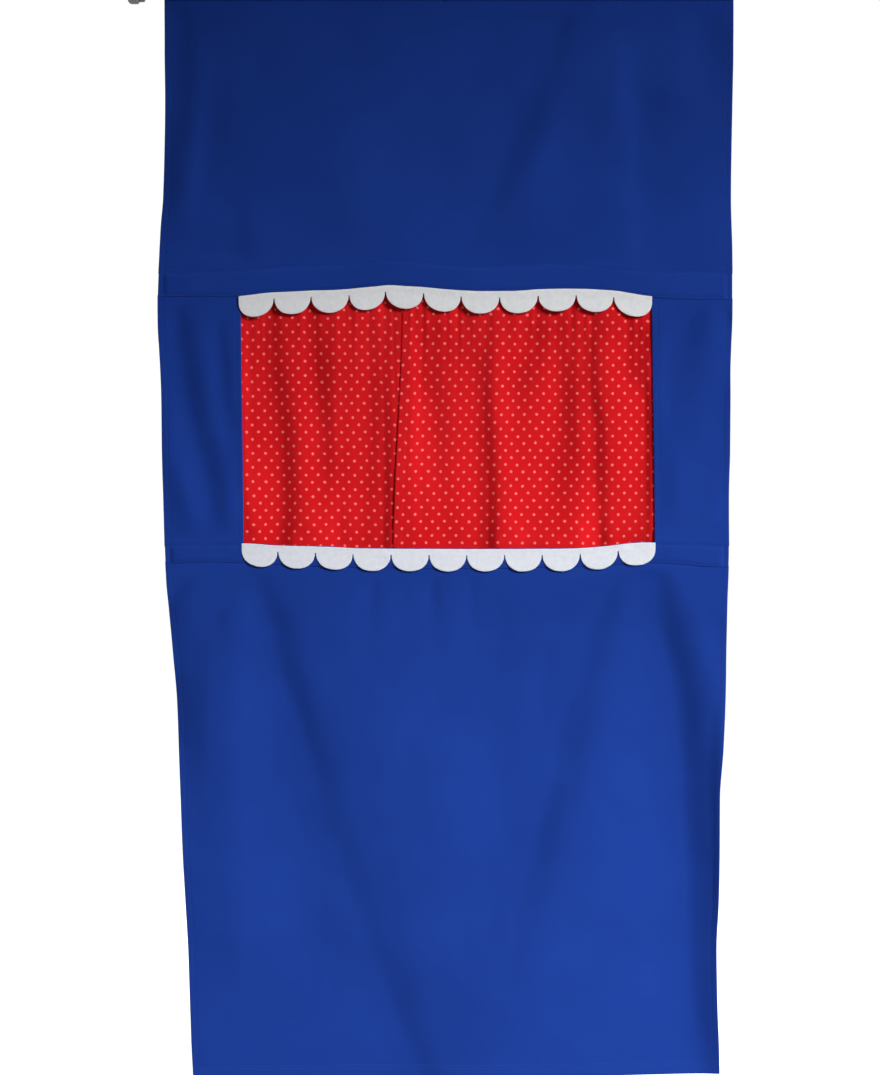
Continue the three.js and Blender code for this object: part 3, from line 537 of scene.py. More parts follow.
blue_cotton = cotton(
    "blue_cotton_weave", colour(25, 58, 144), colour(22, 53, 135), colour(29, 62, 148), has_dots=False,
)
red_cotton = cotton(
    "red_dotted_cotton_weave", colour(218, 27, 33), colour(201, 19, 26), colour(224, 42, 48), has_dots=True,
)
# The two trims are one white felt in two copies. The upper copy is painted lighter, and the lower copy is
# painted darker and bluer: painted light and shade against the lamp, which falls more brightly low on the
# front.
upper_felt_painted_light = felt("upper_white_felt_painted_light", colour(222, 223, 226), colour(233, 234, 236), colour(213, 214, 218))
lower_felt_painted_shade = felt("lower_white_felt_painted_shade", colour(214, 217, 225), colour(224, 227, 235), colour(205, 208, 217))
blue_thread = thread("blue_thread", colour(34, 66, 158), colour(17, 38, 104))
red_thread = thread("red_thread", colour(205, 28, 36), colour(140, 10, 16))
white_thread = thread("white_thread", colour(232, 233, 236), colour(190, 192, 198))
rubber_tones = colour(190, 191, 190), colour(206, 207, 205)
socket_tones = colour(74, 75, 78), colour(96, 97, 100)
batten_tones = colour(228, 226, 218), colour(240, 238, 232)
rigid = {
    "pad_rubber": moulded("pad_rubber", *rubber_tones, 0.72, 0.12 * MM, 0.5),
    "socket_plastic": moulded("socket_plastic", *socket_tones, 0.45, 0.06 * MM, 0.3),
    "batten_plastic": moulded("batten_plastic", *batten_tones, 0.5, 0.05 * MM, 0.2),
    "tube_metal": metal("tube_metal", colour(196, 198, 201), 0.28),
    "spring_steel": metal("spring_steel", colour(160, 162, 166), 0.3),
}

# The blue front's outline: rows of the photograph, and the columns of its two edges there

EDGES = [
    (-11, 165, 733), (50, 165, 733), (100, 165.6, 732), (150, 165, 731), (200, 163.6, 730.4),
    (225, 161.4, 731), (250, 160, 731.8), (275, 158.8, 732), (300, 158, 732), (325, 158.2, 731.8),
    (350, 159.6, 731), (375, 161, 730.2), (400, 161.8, 730), (450, 162.4, 729.6), (500, 163.8, 728.4),
    (550, 165.2, 728.6), (575, 166.4, 728), (600, 168, 727), (650, 172.6, 726), (700, 176.8, 725),
    (750, 179, 723), (800, 181.2, 719.6), (850, 183.2, 719.4), (900, 186, 718.6), (950, 188.8, 716.4),
    (1000, 190.4, 717), (1050, 192.2, 718.8), (1080, 194, 719.4),
]
LEFT_EDGE = curve(EDGES, 1)
RIGHT_EDGE = curve(EDGES, 2)


def cloth_left(z):
    return x_at(LEFT_EDGE(row_at(z)))


def cloth_right(z):
    return x_at(RIGHT_EDGE(row_at(z)))


# The long edges of the two bands and of the upper trim, as columns and rows of the photograph

UPPER_BAND_TOP = curve([
    (158, 272.6), (238, 270.5), (296, 265.5), (336, 264.4), (393, 260.4), (428, 262.5), (468, 266.5),
    (508, 265.5), (560, 263.5), (600, 266.3), (652, 270.5), (732, 272.6),
])
UPPER_BAND_FOOT = curve([
    (158, 297), (195, 296.9), (225, 296.8), (240, 296.6), (255, 295), (270, 293.4), (296, 292),
    (330, 290.9), (345, 290.1), (360, 288.7), (375, 287.4), (390, 286), (405, 286.9), (427, 288.3),
    (450, 290.4), (467, 291.4), (495, 291.9), (525, 291.1), (540, 290), (570, 289.6), (600, 291),
    (615, 292), (630, 293.9), (645, 296.2), (658, 298.4), (680, 299.4), (733, 300),
])
UPPER_TRIM_TOP = curve([
    (238, 295.9), (240, 295.7), (255, 293.9), (270, 292.2), (285, 291.5), (300, 290.8), (315, 290),
    (330, 289.7), (345, 288.9), (360, 287.5), (375, 286.1), (390, 284.8), (405, 285.7), (420, 286.5),
    (435, 287.8), (450, 289.2), (465, 290.1), (480, 290.7), (510, 290.6), (525, 289.9), (540, 288.8),
    (570, 288.3), (585, 288.5), (600, 289.3), (615, 290.3), (630, 292.7), (645, 295.1), (653, 296),
])
LOWER_BAND_TOP = curve([
    (158, 545), (200, 544.8), (230, 543.8), (243, 543), (255, 543.4), (270, 544.7), (300, 545.7),
    (330, 546.5), (360, 548), (420, 548.5), (480, 548.7), (540, 548.5), (570, 548.2), (585, 547.4),
    (600, 546.4), (615, 544.7), (630, 542.9), (645, 542.1), (656, 542.3), (672, 543.3), (700, 544.5),
    (733, 545.2),
])
LOWER_BAND_FOOT = curve([
    (158, 563.2), (225, 563), (245, 563.4), (335, 567.1), (447, 568.9), (560, 567.6), (625, 564.2),
    (656, 563), (672, 564), (690, 565.4), (710, 567), (733, 567.5),
])


class Band:
    """A flat pocket across the cloth that holds a batten."""

    def __init__(self, drop, height, top_rows, foot_rows):
        self.drop, self.height = drop, height
        self.top_rows, self.foot_rows = top_rows, foot_rows
        self.left, self.right = float(cloth_left(-drop)), float(cloth_right(-drop))

    def top(self, x):
        return z_at(self.top_rows(column_at(x)))

    def foot(self, x):
        return z_at(self.foot_rows(column_at(x)))


upper = Band(397 * MM, 34 * MM, UPPER_BAND_TOP, UPPER_BAND_FOOT)
lower = Band(779 * MM, 28 * MM, LOWER_BAND_TOP, LOWER_BAND_FOOT)

WINDOW_LEFT = 157 * MM
WINDOW_WIDTH = 577 * MM
WINDOW_LEAN = 4 * MM
SEAM_DROP = 15.4 * MM
CLOTH_DROP = 1525 * MM
FOOT_RISE = 6 * MM
FOOT_COLUMNS = (194, 719)
HEM_HEIGHT = 16 * MM


def window_left(z):
    return WINDOW_LEFT + WINDOW_LEAN * smooth((-z - upper.drop) / (lower.drop - upper.drop))


def window_right(z):
    return window_left(z) + WINDOW_WIDTH


def cloth_foot(x):
    first, last = FOOT_COLUMNS
    return FOOT_RISE * (column_at(x) - first) / (last - first) - CLOTH_DROP


# The panels' folds

# Each is its reach to its left and right in columns, and rows of (row, column, millimetres back)
TOP_FOLDS = [
    (86, 21, (-5, 600, 0), (24, 555, 6), (75, 539, 4.2), (151, 502, 5.9), (198, 488, 7.3), (262, 451, 0)),
    (69, 14, (0, 615, 0), (30, 612, -1.2), (71, 615, -5.3), (160, 611, 5.3), (238, 626, -3.8),
     (268, 620, 0)),
    (20, 21, (-8, 179, 0), (20, 176, 3.7), (90, 181, 4), (170, 163, 0)),
    (18, 15, (20, 195, 0), (71, 195, -3.6), (178, 187, -7.6), (240, 178, 0)),
    (56, 43, (10, 403, 0), (100, 376, -3), (200, 354, -5), (255, 347, 0)),
    (33, 16, (190, 235, 0), (214, 234, 2.5), (250, 231, 4.1), (276, 240, 0)),
    (72, 23, (10, 492, 0), (60, 479, 2.5), (140, 436, 2.7), (230, 436, 0)),
    (67, 40, (10, 295, 0), (80, 299, -2.5), (160, 293, 2.3), (240, 282, 0)),
    (29, 28, (-5, 703, 0), (60, 709, 5.3), (140, 692, 0.9), (230, 704, -1.8), (266, 691, 0)),
    (18, 35, (20, 658, 0), (80, 640, 5.5), (110, 641, 11.2), (170, 640, 8.3), (220, 653, 0)),
    (17, 13, (60, 552, 0), (110, 553, -1), (150, 543, -3.5), (200, 513, 0)),
    (21, 47, (0, 250, 0), (60, 238, -0.3), (130, 236, -4.9), (200, 216, 0)),
    (30, 34, (40, 573, 0), (110, 558, -2.1), (200, 570, 1.9), (262, 591, 0)),
    (24, 22, (80, 341, 0), (150, 342, -0.7), (210, 320, 1.2), (262, 329, 0)),
]
LEFT_FOLDS = [
    (16, 14, (296, 183, 0), (313, 177, 2.6), (340, 177, 5.2), (369, 181, 5.2), (428, 192, 5.9),
     (496, 209, 2.2), (540, 216, 0)),
    (11, 9, (300, 243, 0), (321, 218, 1.2), (380, 220, 4.7), (450, 234, 0)),
    (15, 14, (400, 180, 0), (440, 172, -0.9), (496, 186, -4.6), (538, 195, 0)),
    (18, 13, (300, 208, 0), (329, 201, -1.1), (380, 213, -2.3), (430, 222, 0)),
    (11, 12, (430, 217, 0), (470, 225, -1.8), (510, 229, -3.3), (538, 227, 0)),
]
RIGHT_FOLDS = [
    (18, 18, (300, 706, 0), (329, 688, 4.4), (369, 684, 2.8), (420, 662, 0)),
    (9, 15, (305, 682, 0), (360, 670, 2.4), (500, 676, -2), (535, 666, 0)),
    (14, 8, (400, 721, 0), (460, 720, 0.3), (520, 711, -2), (538, 691, 0)),
    (17, 8, (300, 726, 0), (350, 732, 6), (420, 720, 1.4), (480, 726, 0)),
]
LOWER_FOLDS = [
    (82, 22, (568, 261, 0), (580, 259, 1.9), (605, 261, 5.2), (631, 267, 8.5), (670, 276, 9.4),
     (707, 289, 8.8), (778, 312, 7.4), (834, 327, 4.6), (917, 357, 4.6), (1000, 386, 6.1),
     (1090, 422, 4)),
    (66, 24, (568, 656, 0), (580, 657, 4.6), (610, 656, 10.9), (635, 660, 14.5), (665, 668, 16.2),
     (700, 674, 17.5), (740, 678, 19), (778, 682, 21.1), (820, 683, 22.4), (860, 685, 21.3),
     (976, 688, 17.9), (1090, 701, 8.6)),
    (17, 8, (700, 717, 0), (740, 711, 2.8), (778, 710, 4.5), (860, 711, 4.6), (940, 712, 3.3),
     (1010, 711, 0)),
    (95, 22, (572, 620, 0), (600, 602, 5.6), (630, 588, 8.8), (660, 582, 9.8), (690, 572, 8.8),
     (726, 557, 8.8), (770, 551, 9.8), (818, 539, 9.9), (909, 516, 4.2), (1000, 506, 0)),
    (22, 20, (572, 190, 0), (590, 176, 4.2), (615, 160, 9.1), (655, 166, 7.1), (699, 166, 11),
     (780, 175, 1.8), (900, 194, -2.8), (1000, 208, 0)),
    (25, 32, (590, 245, 0), (620, 234, -6.6), (659, 232, -8.4), (778, 229, -6.4), (900, 231, -5),
     (1000, 249, 0)),
    (18, 10, (574, 377, 0), (590, 372, 1.7), (630, 370, 1), (680, 374, 0)),
    (15, 10, (574, 438, 0), (590, 432, 2.3), (630, 433, 0.7), (680, 443, 0)),
    (13, 7, (574, 475, 0), (590, 472, 1), (640, 473, 0.6), (690, 474, 0)),
    (93, 92, (640, 471, 0), (760, 449, -7.9), (900, 477, -11.7), (1090, 500, -10.3)),
    (21, 40, (600, 430, 0), (700, 426, 1.4), (800, 414, 2.6), (900, 442, 0.8), (1000, 457, 0)),
    (45, 38, (600, 509, 0), (700, 479, 6.5), (800, 488, 5.9), (900, 486, 5.1), (1000, 466, 0)),
    (18, 12, (690, 600, 0), (710, 589, 1), (740, 578, 1.5), (790, 571, 0)),
    (17, 19, (640, 547, 0), (690, 546, 1.8), (740, 535, 0)),
    (33, 31, (780, 303, 0), (840, 303, 3.4), (900, 301, 3.4), (1000, 320, 0)),
    (16, 14, (620, 212, 0), (700, 208, -2.3), (800, 204, -1.6), (940, 213, 0)),
    (15, 17, (600, 703, 0), (640, 720, 1.9), (700, 719, -1.9), (760, 722, 0)),
    (20, 14, (850, 369, 0), (900, 388, 0.6), (960, 400, 1), (1060, 413, 0)),
]
FOLD_START_SHARE = 0.45
FOLD_SPREAD_ROWS = 60


def fold_depth(folds, x, z, in_panel=True):
    """How far back the folds take the cloth at a place.

    A panel's folds start narrow and end with their rows, and a curtain's go on past theirs.
    """
    column, row = column_at(x), row_at(z)
    depth = np.zeros(np.shape(x))
    for reach_left, reach_right, *rows in folds:
        line, full = curve(rows, 1)(row), curve(rows, 2)(row)
        reach = np.where(column < line, reach_left, reach_right)
        if in_panel:
            start, end = rows[0][0], rows[-1][0]
            reach = reach * mix(FOLD_START_SHARE, 1, smooth((row - start) / FOLD_SPREAD_ROWS))
            full = np.where((row >= start) & (row <= end), full, 0)
        depth = depth + full * bump((column - line) / reach)
    return depth * MM


# Faint unevenness in layers: depth, lean, and pitch across and down

CREASES = (
    (0.22 * MM, 0.0, 26 * MM, 95 * MM),
    (0.14 * MM, 0.3, 62 * MM, 48 * MM),
    (0.07 * MM, -0.2, 9 * MM, 15 * MM),
)


def creases(x, z, seed):
    """The unevenness of cloth that has been folded away and hung up again."""
    depth = 0
    for layer, (deep, lean, across, down) in enumerate(CREASES):
        depth = depth + deep * crumple(x + lean * z, z, across, down, seed + layer)
    return depth


# The cloth front's panels

MIDDLE_X = 400 * MM
CLOTH_HALF = 0.4 * MM
SIDE_HEM = 9 * MM
HEM_EXTRA = 0.9 * MM
HEM_STITCH = 7.4 * MM
HEM_STATIONS = np.array([0, 0.5, 1.5, 3, 5, 6.6, 7.4, 8.2, 9, 9.8, 11.5]) * MM
STITCH_COLUMNS = (6, -7)
STEP = 5 * MM
SEAM_LAP = 2 * MM
STITCH_GROOVE = 0.22 * MM
GROOVE_REACH = 0.9 * MM
PUCKER_DEPTH = 0.16 * MM
PUCKER_REACH = 9 * MM
CREASE_FADE = 30 * MM
SEAM_FADE = 2 * MM
ROLL_RISE = 3 * MM
ROLL_REACH = 2.2 * MM
LOWER_SEED = 71


def stations(width):
    """Places across a hemmed piece from 0 to 1, closer together at its two hems."""
    last = width - HEM_STATIONS[::-1]
    count = int((last[0] - HEM_STATIONS[-1]) / STEP)
    between = np.linspace(HEM_STATIONS[-1], last[0], count + 1)[1:-1]
    return np.concatenate([HEM_STATIONS, between, last]) / width


def hem_back(distance):
    """How much thicker a hem makes the cloth's back at a distance from its edge."""
    return HEM_EXTRA * smooth((SIDE_HEM + 0.7 * MM - distance) / (1.0 * MM))


def hem_groove(distance):
    return STITCH_GROOVE * bump((distance - HEM_STITCH) / GROOVE_REACH)


def puckers(distance, along, seed):
    """Small waves that a row of stitches draws into the cloth beside it."""
    waves = ripples(along, 6.5 * MM, seed) + ripples(along, 15 * MM, seed + 1)
    return PUCKER_DEPTH * waves * np.exp(-np.abs(distance) / PUCKER_REACH)


def panel(name, left, right, top, foot, folds, hold_top, hold_foot, seed, replaced, roll=0):
    """A blue panel between two side edges and two seams, or above a free foot.

    Its folds fade towards what holds it, and it can swell by a roll just above its foot.
    """
    height = float(top(MIDDLE_X) - foot(MIDDLE_X))
    start, end = left(top(MIDDLE_X)), right(top(MIDDLE_X))
    across = stations(float(end - start))[None, :]
    down = np.linspace(0, 1, int(height / STEP) + 2)[:, None]
    x = mix(start, end, across) + 0 * down
    for _ in range(3):
        z = mix(top(x), foot(x), down)
        x = mix(left(z), right(z), across)
    to_top, to_foot = top(x) - z, z - foot(x)
    from_left, from_right = x - left(z), right(z) - x
    held, fade = smooth(to_top / hold_top), smooth(to_top / CREASE_FADE)
    gathers = puckers(to_top, x, seed + 7) * smooth(to_top / SEAM_FADE)
    if hold_foot:
        held, fade = held * smooth(to_foot / hold_foot), fade * smooth(to_foot / CREASE_FADE)
        gathers = gathers + puckers(to_foot, x, seed + 9) * smooth(to_foot / SEAM_FADE)
    y = fold_depth(folds, x, z) * held + creases(x, z, seed) * fade + gathers
    y = y + puckers(from_left, z, seed + 3) + puckers(from_right, z, seed + 5)
    y = y - roll * bump((to_foot - SEAM_LAP - ROLL_RISE) / ROLL_REACH)
    middle = np.stack([x, y, z], -1)
    thicker = hem_back(from_left) + hem_back(from_right)
    groove = hem_groove(from_left) + hem_groove(from_right)
    part = sheet_part(middle, np.stack([x, -z], -1), CLOTH_HALF - groove, CLOTH_HALF + thicker)
    outwards = outwards_of(middle)
    for column in STITCH_COLUMNS:
        stitched(middle[:, column], outwards[:, column], CLOTH_HALF, CLOTH_HALF + HEM_EXTRA)
    return piece(name, part, blue_cotton, "cloth_front", replaced), middle


def below_upper_band(x):
    return upper.foot(x) + SEAM_LAP


def above_lower_band(x):
    return lower.top(x) - SEAM_LAP


top_panel, _ = panel(
    "top_panel_cloth", cloth_left, cloth_right,
    lambda x: -SEAM_DROP + SEAM_LAP + 0 * x, lambda x: upper.top(x) - SEAM_LAP,
    TOP_FOLDS, 30 * MM, 30 * MM, 11, "top_panel",
)
left_side, _ = panel(
    "left_side_cloth", cloth_left, window_left, below_upper_band, above_lower_band,
    LEFT_FOLDS, 22 * MM, 22 * MM, 31, "left_side_panel", 0.9 * MM,
)
right_side, _ = panel(
    "right_side_cloth", window_right, cloth_right, below_upper_band, above_lower_band,
    RIGHT_FOLDS, 22 * MM, 22 * MM, 51, "right_side_panel", 1.3 * MM,
)
lower_panel, lower_middle = panel(
    "lower_panel_cloth", cloth_left, cloth_right,
    lambda x: lower.foot(x) + SEAM_LAP, lambda x: cloth_foot(x) + HEM_HEIGHT - SEAM_LAP,
    LOWER_FOLDS, 20 * MM, None, LOWER_SEED, "lower_panel",
)

HEM_ROW_SHARES = np.array([-0.06, 0, 0.05, 0.12, 0.16, 0.2, 0.35, 0.55, 0.75, 0.9, 1.0])[:, None]
HEM_STITCH_ROW = 4
HEM_SEAM_DROP = 2.4 * MM
HEM_SINGLE = 0.55 * MM
HEM_DOUBLED = 0.35 * MM
HEM_SEAM_DEPTH = 0.25 * MM
HEM_BACK_EXTRA = 0.2 * MM
HEM_FACES = (0.75 * MM, 0.95 * MM)


def bottom_hem():
    """The folded hem along the foot, which hangs on in the lower panel's folds."""
    above = lower_middle[-1]
    across = (above[:, 0] - above[0, 0]) / (above[-1, 0] - above[0, 0])
    drop = HEM_HEIGHT * HEM_ROW_SHARES
    z = above[:, 2] + SEAM_LAP - drop
    left, right = cloth_left(z), cloth_right(z)
    x = mix(left, right, across)
    y = fold_depth(LOWER_FOLDS, x, z) + creases(x, z, LOWER_SEED)
    y = y + puckers(x - left, z, LOWER_SEED + 3) + puckers(right - x, z, LOWER_SEED + 5)
    y = y + puckers(drop - 2.2 * MM, x, LOWER_SEED + 8)
    middle = np.stack([x, y, z], -1)
    doubled = smooth((HEM_ROW_SHARES + 0.06) / 0.12)
    seam = HEM_SEAM_DEPTH * bump((drop - HEM_SEAM_DROP) / GROOVE_REACH)
    thick = HEM_SINGLE + HEM_DOUBLED * doubled - seam
    stitched(middle[HEM_STITCH_ROW], outwards_of(middle)[HEM_STITCH_ROW], *HEM_FACES)
    part = sheet_part(middle, np.stack([x, -z], -1), thick, thick + HEM_BACK_EXTRA)
    return piece("bottom_hem_cloth", part, blue_cotton, "cloth_front", "bottom_hem")


foot_hem = bottom_hem()


# The bands: flat pockets whose front and back are stitched together along both edges

# How far a band's faces stand out at a distance from its foot or top, both in millimetres
FOOT_SWELL = curve([(0, 0), (0.5, 0.75), (1.3, 1.25), (2.6, 1.3), (3.8, 1.75), (6.5, 2.2), (20, 2.35)])
TOP_SWELL = curve([(0, 0), (0.5, 0.7), (1.6, 0.8), (2.6, 0.6), (3.8, 1.4), (6.5, 2.1), (20, 2.35)])
BAND_STATIONS = np.array([0, 0.25, 0.5, 1.0, 1.6, 2.1, 2.6, 3.1, 3.8, 5, 6.5, 9])
BAND_STITCH = 2.6
BAND_LAYER = 0.3 * MM
CLOSED_SWELL = 0.75 * MM
END_CLOSED = 6 * MM
END_OPENING = 7 * MM
END_SEAM = 6.5 * MM
END_SEAM_DEPTH = 0.45 * MM
END_SEAM_REACH = 1.2 * MM
BAND_WAVE = 0.25 * MM
BAND_PUCKERS = 0.7
SEWN_ENDS = slice(4, -4)


def band_cloth(name, band, seed, replaced):
    """A band's cloth, which runs up its front from its foot and down its back again."""
    across = stations(band.right - band.left)[None, :]
    x = mix(band.left, band.right, across)
    height = band.height / MM
    rise = np.concatenate([BAND_STATIONS, [height / 2], height - BAND_STATIONS[::-1]])
    loop = np.concatenate([rise, rise[-2::-1]])
    back = (np.arange(len(loop)) >= len(rise))[:, None]
    from_edge = np.minimum(loop, height - loop)
    swell = np.where(loop < height / 2, FOOT_SWELL(from_edge), TOP_SWELL(from_edge))[:, None] * MM
    loop = loop[:, None]
    to_end = np.minimum(x - band.left, band.right - x)
    opened = smooth((to_end - END_CLOSED) / END_OPENING)
    end_seam = END_SEAM_DEPTH * bump((to_end - END_SEAM) / END_SEAM_REACH)
    depth = np.minimum(swell, mix(CLOSED_SWELL, swell, opened)) - end_seam * (swell > 0.5 * MM)
    wave = BAND_WAVE * crumple(x, loop * MM, 23 * MM, 9 * MM, seed) * opened
    edge_waves = BAND_PUCKERS * puckers((from_edge[:, None] - BAND_STITCH) * MM, x, seed + 1)
    depth = depth + (wave + edge_waves) * smooth(swell / (0.8 * MM))
    z = mix(band.foot(x), band.top(x), loop / height)
    x = mix(cloth_left(z), cloth_right(z), across)
    middle = np.stack([x, np.where(back, depth, -depth), z], -1)[::-1]
    flat = np.stack([x, np.where(back, loop, -loop) * MM + 0 * x], -1)[::-1]
    outwards = outwards_of(middle)
    for i in np.flatnonzero(np.abs(from_edge - BAND_STITCH) < 1e-9):
        stitched(middle[-1 - i, SEWN_ENDS], outwards[-1 - i, SEWN_ENDS], BAND_LAYER)
    front = -1 - np.arange(5, len(rise) - 5)
    for column in STITCH_COLUMNS:
        stitched(middle[front, column], outwards[front, column], BAND_LAYER)
    part = sheet_part(middle, flat, BAND_LAYER, BAND_LAYER)
    return piece(name, part, blue_cotton, "cloth_front", replaced)


upper_band = band_cloth("upper_band_cloth", upper, 91, "upper_band")
lower_band = band_cloth("lower_band_cloth", lower, 95, "lower_band")

# The sleeve round the rod, drawn together below it by the seam that carries the top panel

SLEEVE_RADIUS = 11.85 * MM
SLEEVE_NECK = 0.85 * MM
SLEEVE_INSET = 0.2 * MM
SLEEVE_SLACK = 0.25 * MM
SLEEVE_TIGHTEST = -0.15 * MM
SLEEVE_BACK_SHARE = 0.8
GATHERS_START = 2.5 * MM
GATHERS_FADE = 13 * MM
NECK_SHARES = (0.3, 0.55, 0.75, 0.9, 1.0)
SLEEVE_SEAM_ROWS = (2, -3)


def sleeve_outline():
    """The sleeve's (y, z) points, from the seam behind the rod over it to the seam in front."""
    to_seam = math.hypot(SLEEVE_NECK, SEAM_DROP)
    opening = math.degrees(math.acos(SLEEVE_RADIUS / to_seam) + math.atan(SLEEVE_NECK / SEAM_DROP))
    turn = np.radians(np.linspace(opening - 90, 270 - opening, 44))
    ring = SLEEVE_RADIUS * np.stack([np.cos(turn), np.sin(turn)], -1)
    seam = np.array([-SLEEVE_NECK, -SEAM_DROP])
    neck = np.array([mix(ring[-1 - i], seam, share) for i, share in enumerate(NECK_SHARES)])
    return np.concatenate([neck[::-1] * (-1, 1), ring, neck])


def rod_sleeve():
    start, end = x_at(EDGES[0][1]) + SLEEVE_INSET, x_at(EDGES[0][2]) - SLEEVE_INSET
    x = mix(start, end, stations(end - start))[None, :]
    outline = sleeve_outline()
    y, z = outline[:, :1], outline[:, 1:]
    length = length_along(*outline.T)[:, None]
    to_seam = np.minimum(length, length[-1] - length)
    gathers = 0.44 * ripples(x, 5.2 * MM, 121) + 0.32 * ripples(x, 13 * MM, 122)
    pull = smooth(to_seam / GATHERS_START) * np.exp(-to_seam / GATHERS_FADE)
    uneven = (gathers * pull + 0.2 * crumple(x, length, 30 * MM, 12 * MM, 123)) * MM
    out = SLEEVE_SLACK + uneven * np.where(y < 0, 1, SLEEVE_BACK_SHARE)
    out = np.maximum(out, SLEEVE_TIGHTEST) * smooth((to_seam + 1 * MM) / (3 * MM))
    scale = 1 + out / np.hypot(y, z)
    middle = np.stack([x + 0 * scale, y * scale, z * scale], -1)
    flat = np.stack([x + 0 * scale, length + 0 * scale], -1)
    groove = hem_groove(np.minimum(x - start, end - x))
    part = sheet_part(middle, flat, CLOTH_HALF - groove, CLOTH_HALF)
    outwards = outwards_of(middle)
    for row in SLEEVE_SEAM_ROWS:
        stitched(middle[row], outwards[row], CLOTH_HALF)
    for column in STITCH_COLUMNS:
        stitched(middle[SEWN_ENDS, column], outwards[SEWN_ENDS, column], CLOTH_HALF)
    return piece("rod_sleeve_cloth", part, blue_cotton, "cloth_front", "rod_sleeve")


sleeve = rod_sleeve()

# The felt trims

# The columns of the photograph where the notches between the scallops are, with the trims' two ends
UPPER_NOTCHES = (238.2, 274, 311, 349, 385.5, 423.5, 461, 499.5, 538, 576, 613.5, 652.4)
LOWER_NOTCHES = (241.3, 278, 315.5, 353, 391, 429, 466.5, 504.5, 542, 580, 618, 655.7)
NOTCH_DROP = 7.9 * MM
HALF_SLIT = 1.2 * MM
SCALLOP_DEPTH = 22.5 * MM
SCALLOP_FULLNESS = 0.92
SCALLOP_POINTS = 25
CURL_DEPTH = 0.5 * MM
LEAN_DEPTH = 0.1 * MM
FELT_ROWS = 15
FELT_EDGE_WAVE = 0.25 * MM
FELT_WAVE = 0.22 * MM
FELT_HALF = 0.6 * MM
UPPER_TRIM_Y = -2.9 * MM
UPPER_TRIM_BACK = 0.8 * MM
LOWER_TRIM_Y = -3.3 * MM
TRIM_RIM_ROWS = 1
TRIM_BELOW_TOP = 1.1 * MM
TRIM_STITCH_DROP = 2 * MM
TRIM_STITCH_INSET = 3 * MM
TRIM_STITCH_Y = -3.95 * MM


def scallop_trim(name, material, notches, edge, plane, seed, replaced):
    """A strip of felt with round scallops, each curling a little its own way."""
    turn = np.linspace(0, math.pi, SCALLOP_POINTS)
    outline_x = -np.sign(np.cos(turn)) * np.abs(np.cos(turn)) ** SCALLOP_FULLNESS
    outline_drop = np.maximum(0, np.sin(turn)) ** SCALLOP_FULLNESS
    curls = np.random.default_rng(seed).uniform(0.2, 1.0, len(notches) - 1)
    starts = x_at(np.array(notches[:-1]))[:, None] + HALF_SLIT
    ends = x_at(np.array(notches[1:]))[:, None] - HALF_SLIT
    x = mix(starts, ends, (1 + outline_x) / 2).reshape(1, -1)
    drop = np.tile(outline_drop, len(curls))[None, :]
    curl = np.repeat(curls, SCALLOP_POINTS)[None, :]
    top = edge(x)
    foot = top - NOTCH_DROP - SCALLOP_DEPTH * drop + FELT_EDGE_WAVE * ripples(x, 7 * MM, seed + 1)
    z = mix(top, foot, np.linspace(0, 1, FELT_ROWS)[:, None])
    below = np.clip((top - NOTCH_DROP * 0.6 - z) / SCALLOP_DEPTH, 0, 1)
    y = plane(top - z) - (CURL_DEPTH * curl + LEAN_DEPTH) * below**1.6
    y = y + FELT_WAVE * crumple(x, z, 17 * MM, 11 * MM, seed + 2) * smooth((top - z) / (6 * MM))
    middle = np.stack([x + 0 * z, y, z], -1)
    part = sheet_part(middle, np.stack([x + 0 * z, -z], -1), FELT_HALF, FELT_HALF)
    return piece(name, part, material, "cloth_front", replaced)


def upper_trim_edge(x):
    return z_at(UPPER_TRIM_TOP(column_at(x)) + TRIM_RIM_ROWS)


def upper_trim_plane(drop):
    """The upper trim is sewn on before the band's foot and hangs back below it."""
    return UPPER_TRIM_Y + UPPER_TRIM_BACK * smooth(drop / (12 * MM))


def lower_trim_edge(x):
    return lower.top(x) - TRIM_BELOW_TOP


upper_trim = scallop_trim(
    "upper_scallops_felt", upper_felt_painted_light, UPPER_NOTCHES, upper_trim_edge, upper_trim_plane, 141,
    "upper_scallop_trim",
)
lower_trim = scallop_trim(
    "lower_scallops_felt", lower_felt_painted_shade, LOWER_NOTCHES, lower_trim_edge, lambda drop: LOWER_TRIM_Y, 151,
    "lower_scallop_trim",
)


def trim_stitches():
    """The run of stitches along the lower trim's top edge."""
    start, end = x_at(LOWER_NOTCHES[0]) + TRIM_STITCH_INSET, x_at(LOWER_NOTCHES[-1]) - TRIM_STITCH_INSET
    x = np.linspace(start, end, 400)
    line = np.stack([x, np.full_like(x, TRIM_STITCH_Y), lower_trim_edge(x) - TRIM_STITCH_DROP], -1)
    return line, np.tile([0.0, -1.0, 0.0], (len(x), 1))


# The curtain's rod and its two loops of blue cloth

ROD_Y = 7.4 * MM
ROD_Z = -413 * MM
CURTAIN_ROD = [(132, 0), (132, 3, 1.4), (759, 3, 1.4), (759, 0)]
LOOP_WIDTH = 14 * MM
LOOP_RADIUS = 3.95 * MM
LOOP_HALF = 0.45 * MM
CLEAR = 0.3 * MM
CURTAIN_LEFT = 150 * MM
CURTAIN_RIGHT = 741 * MM


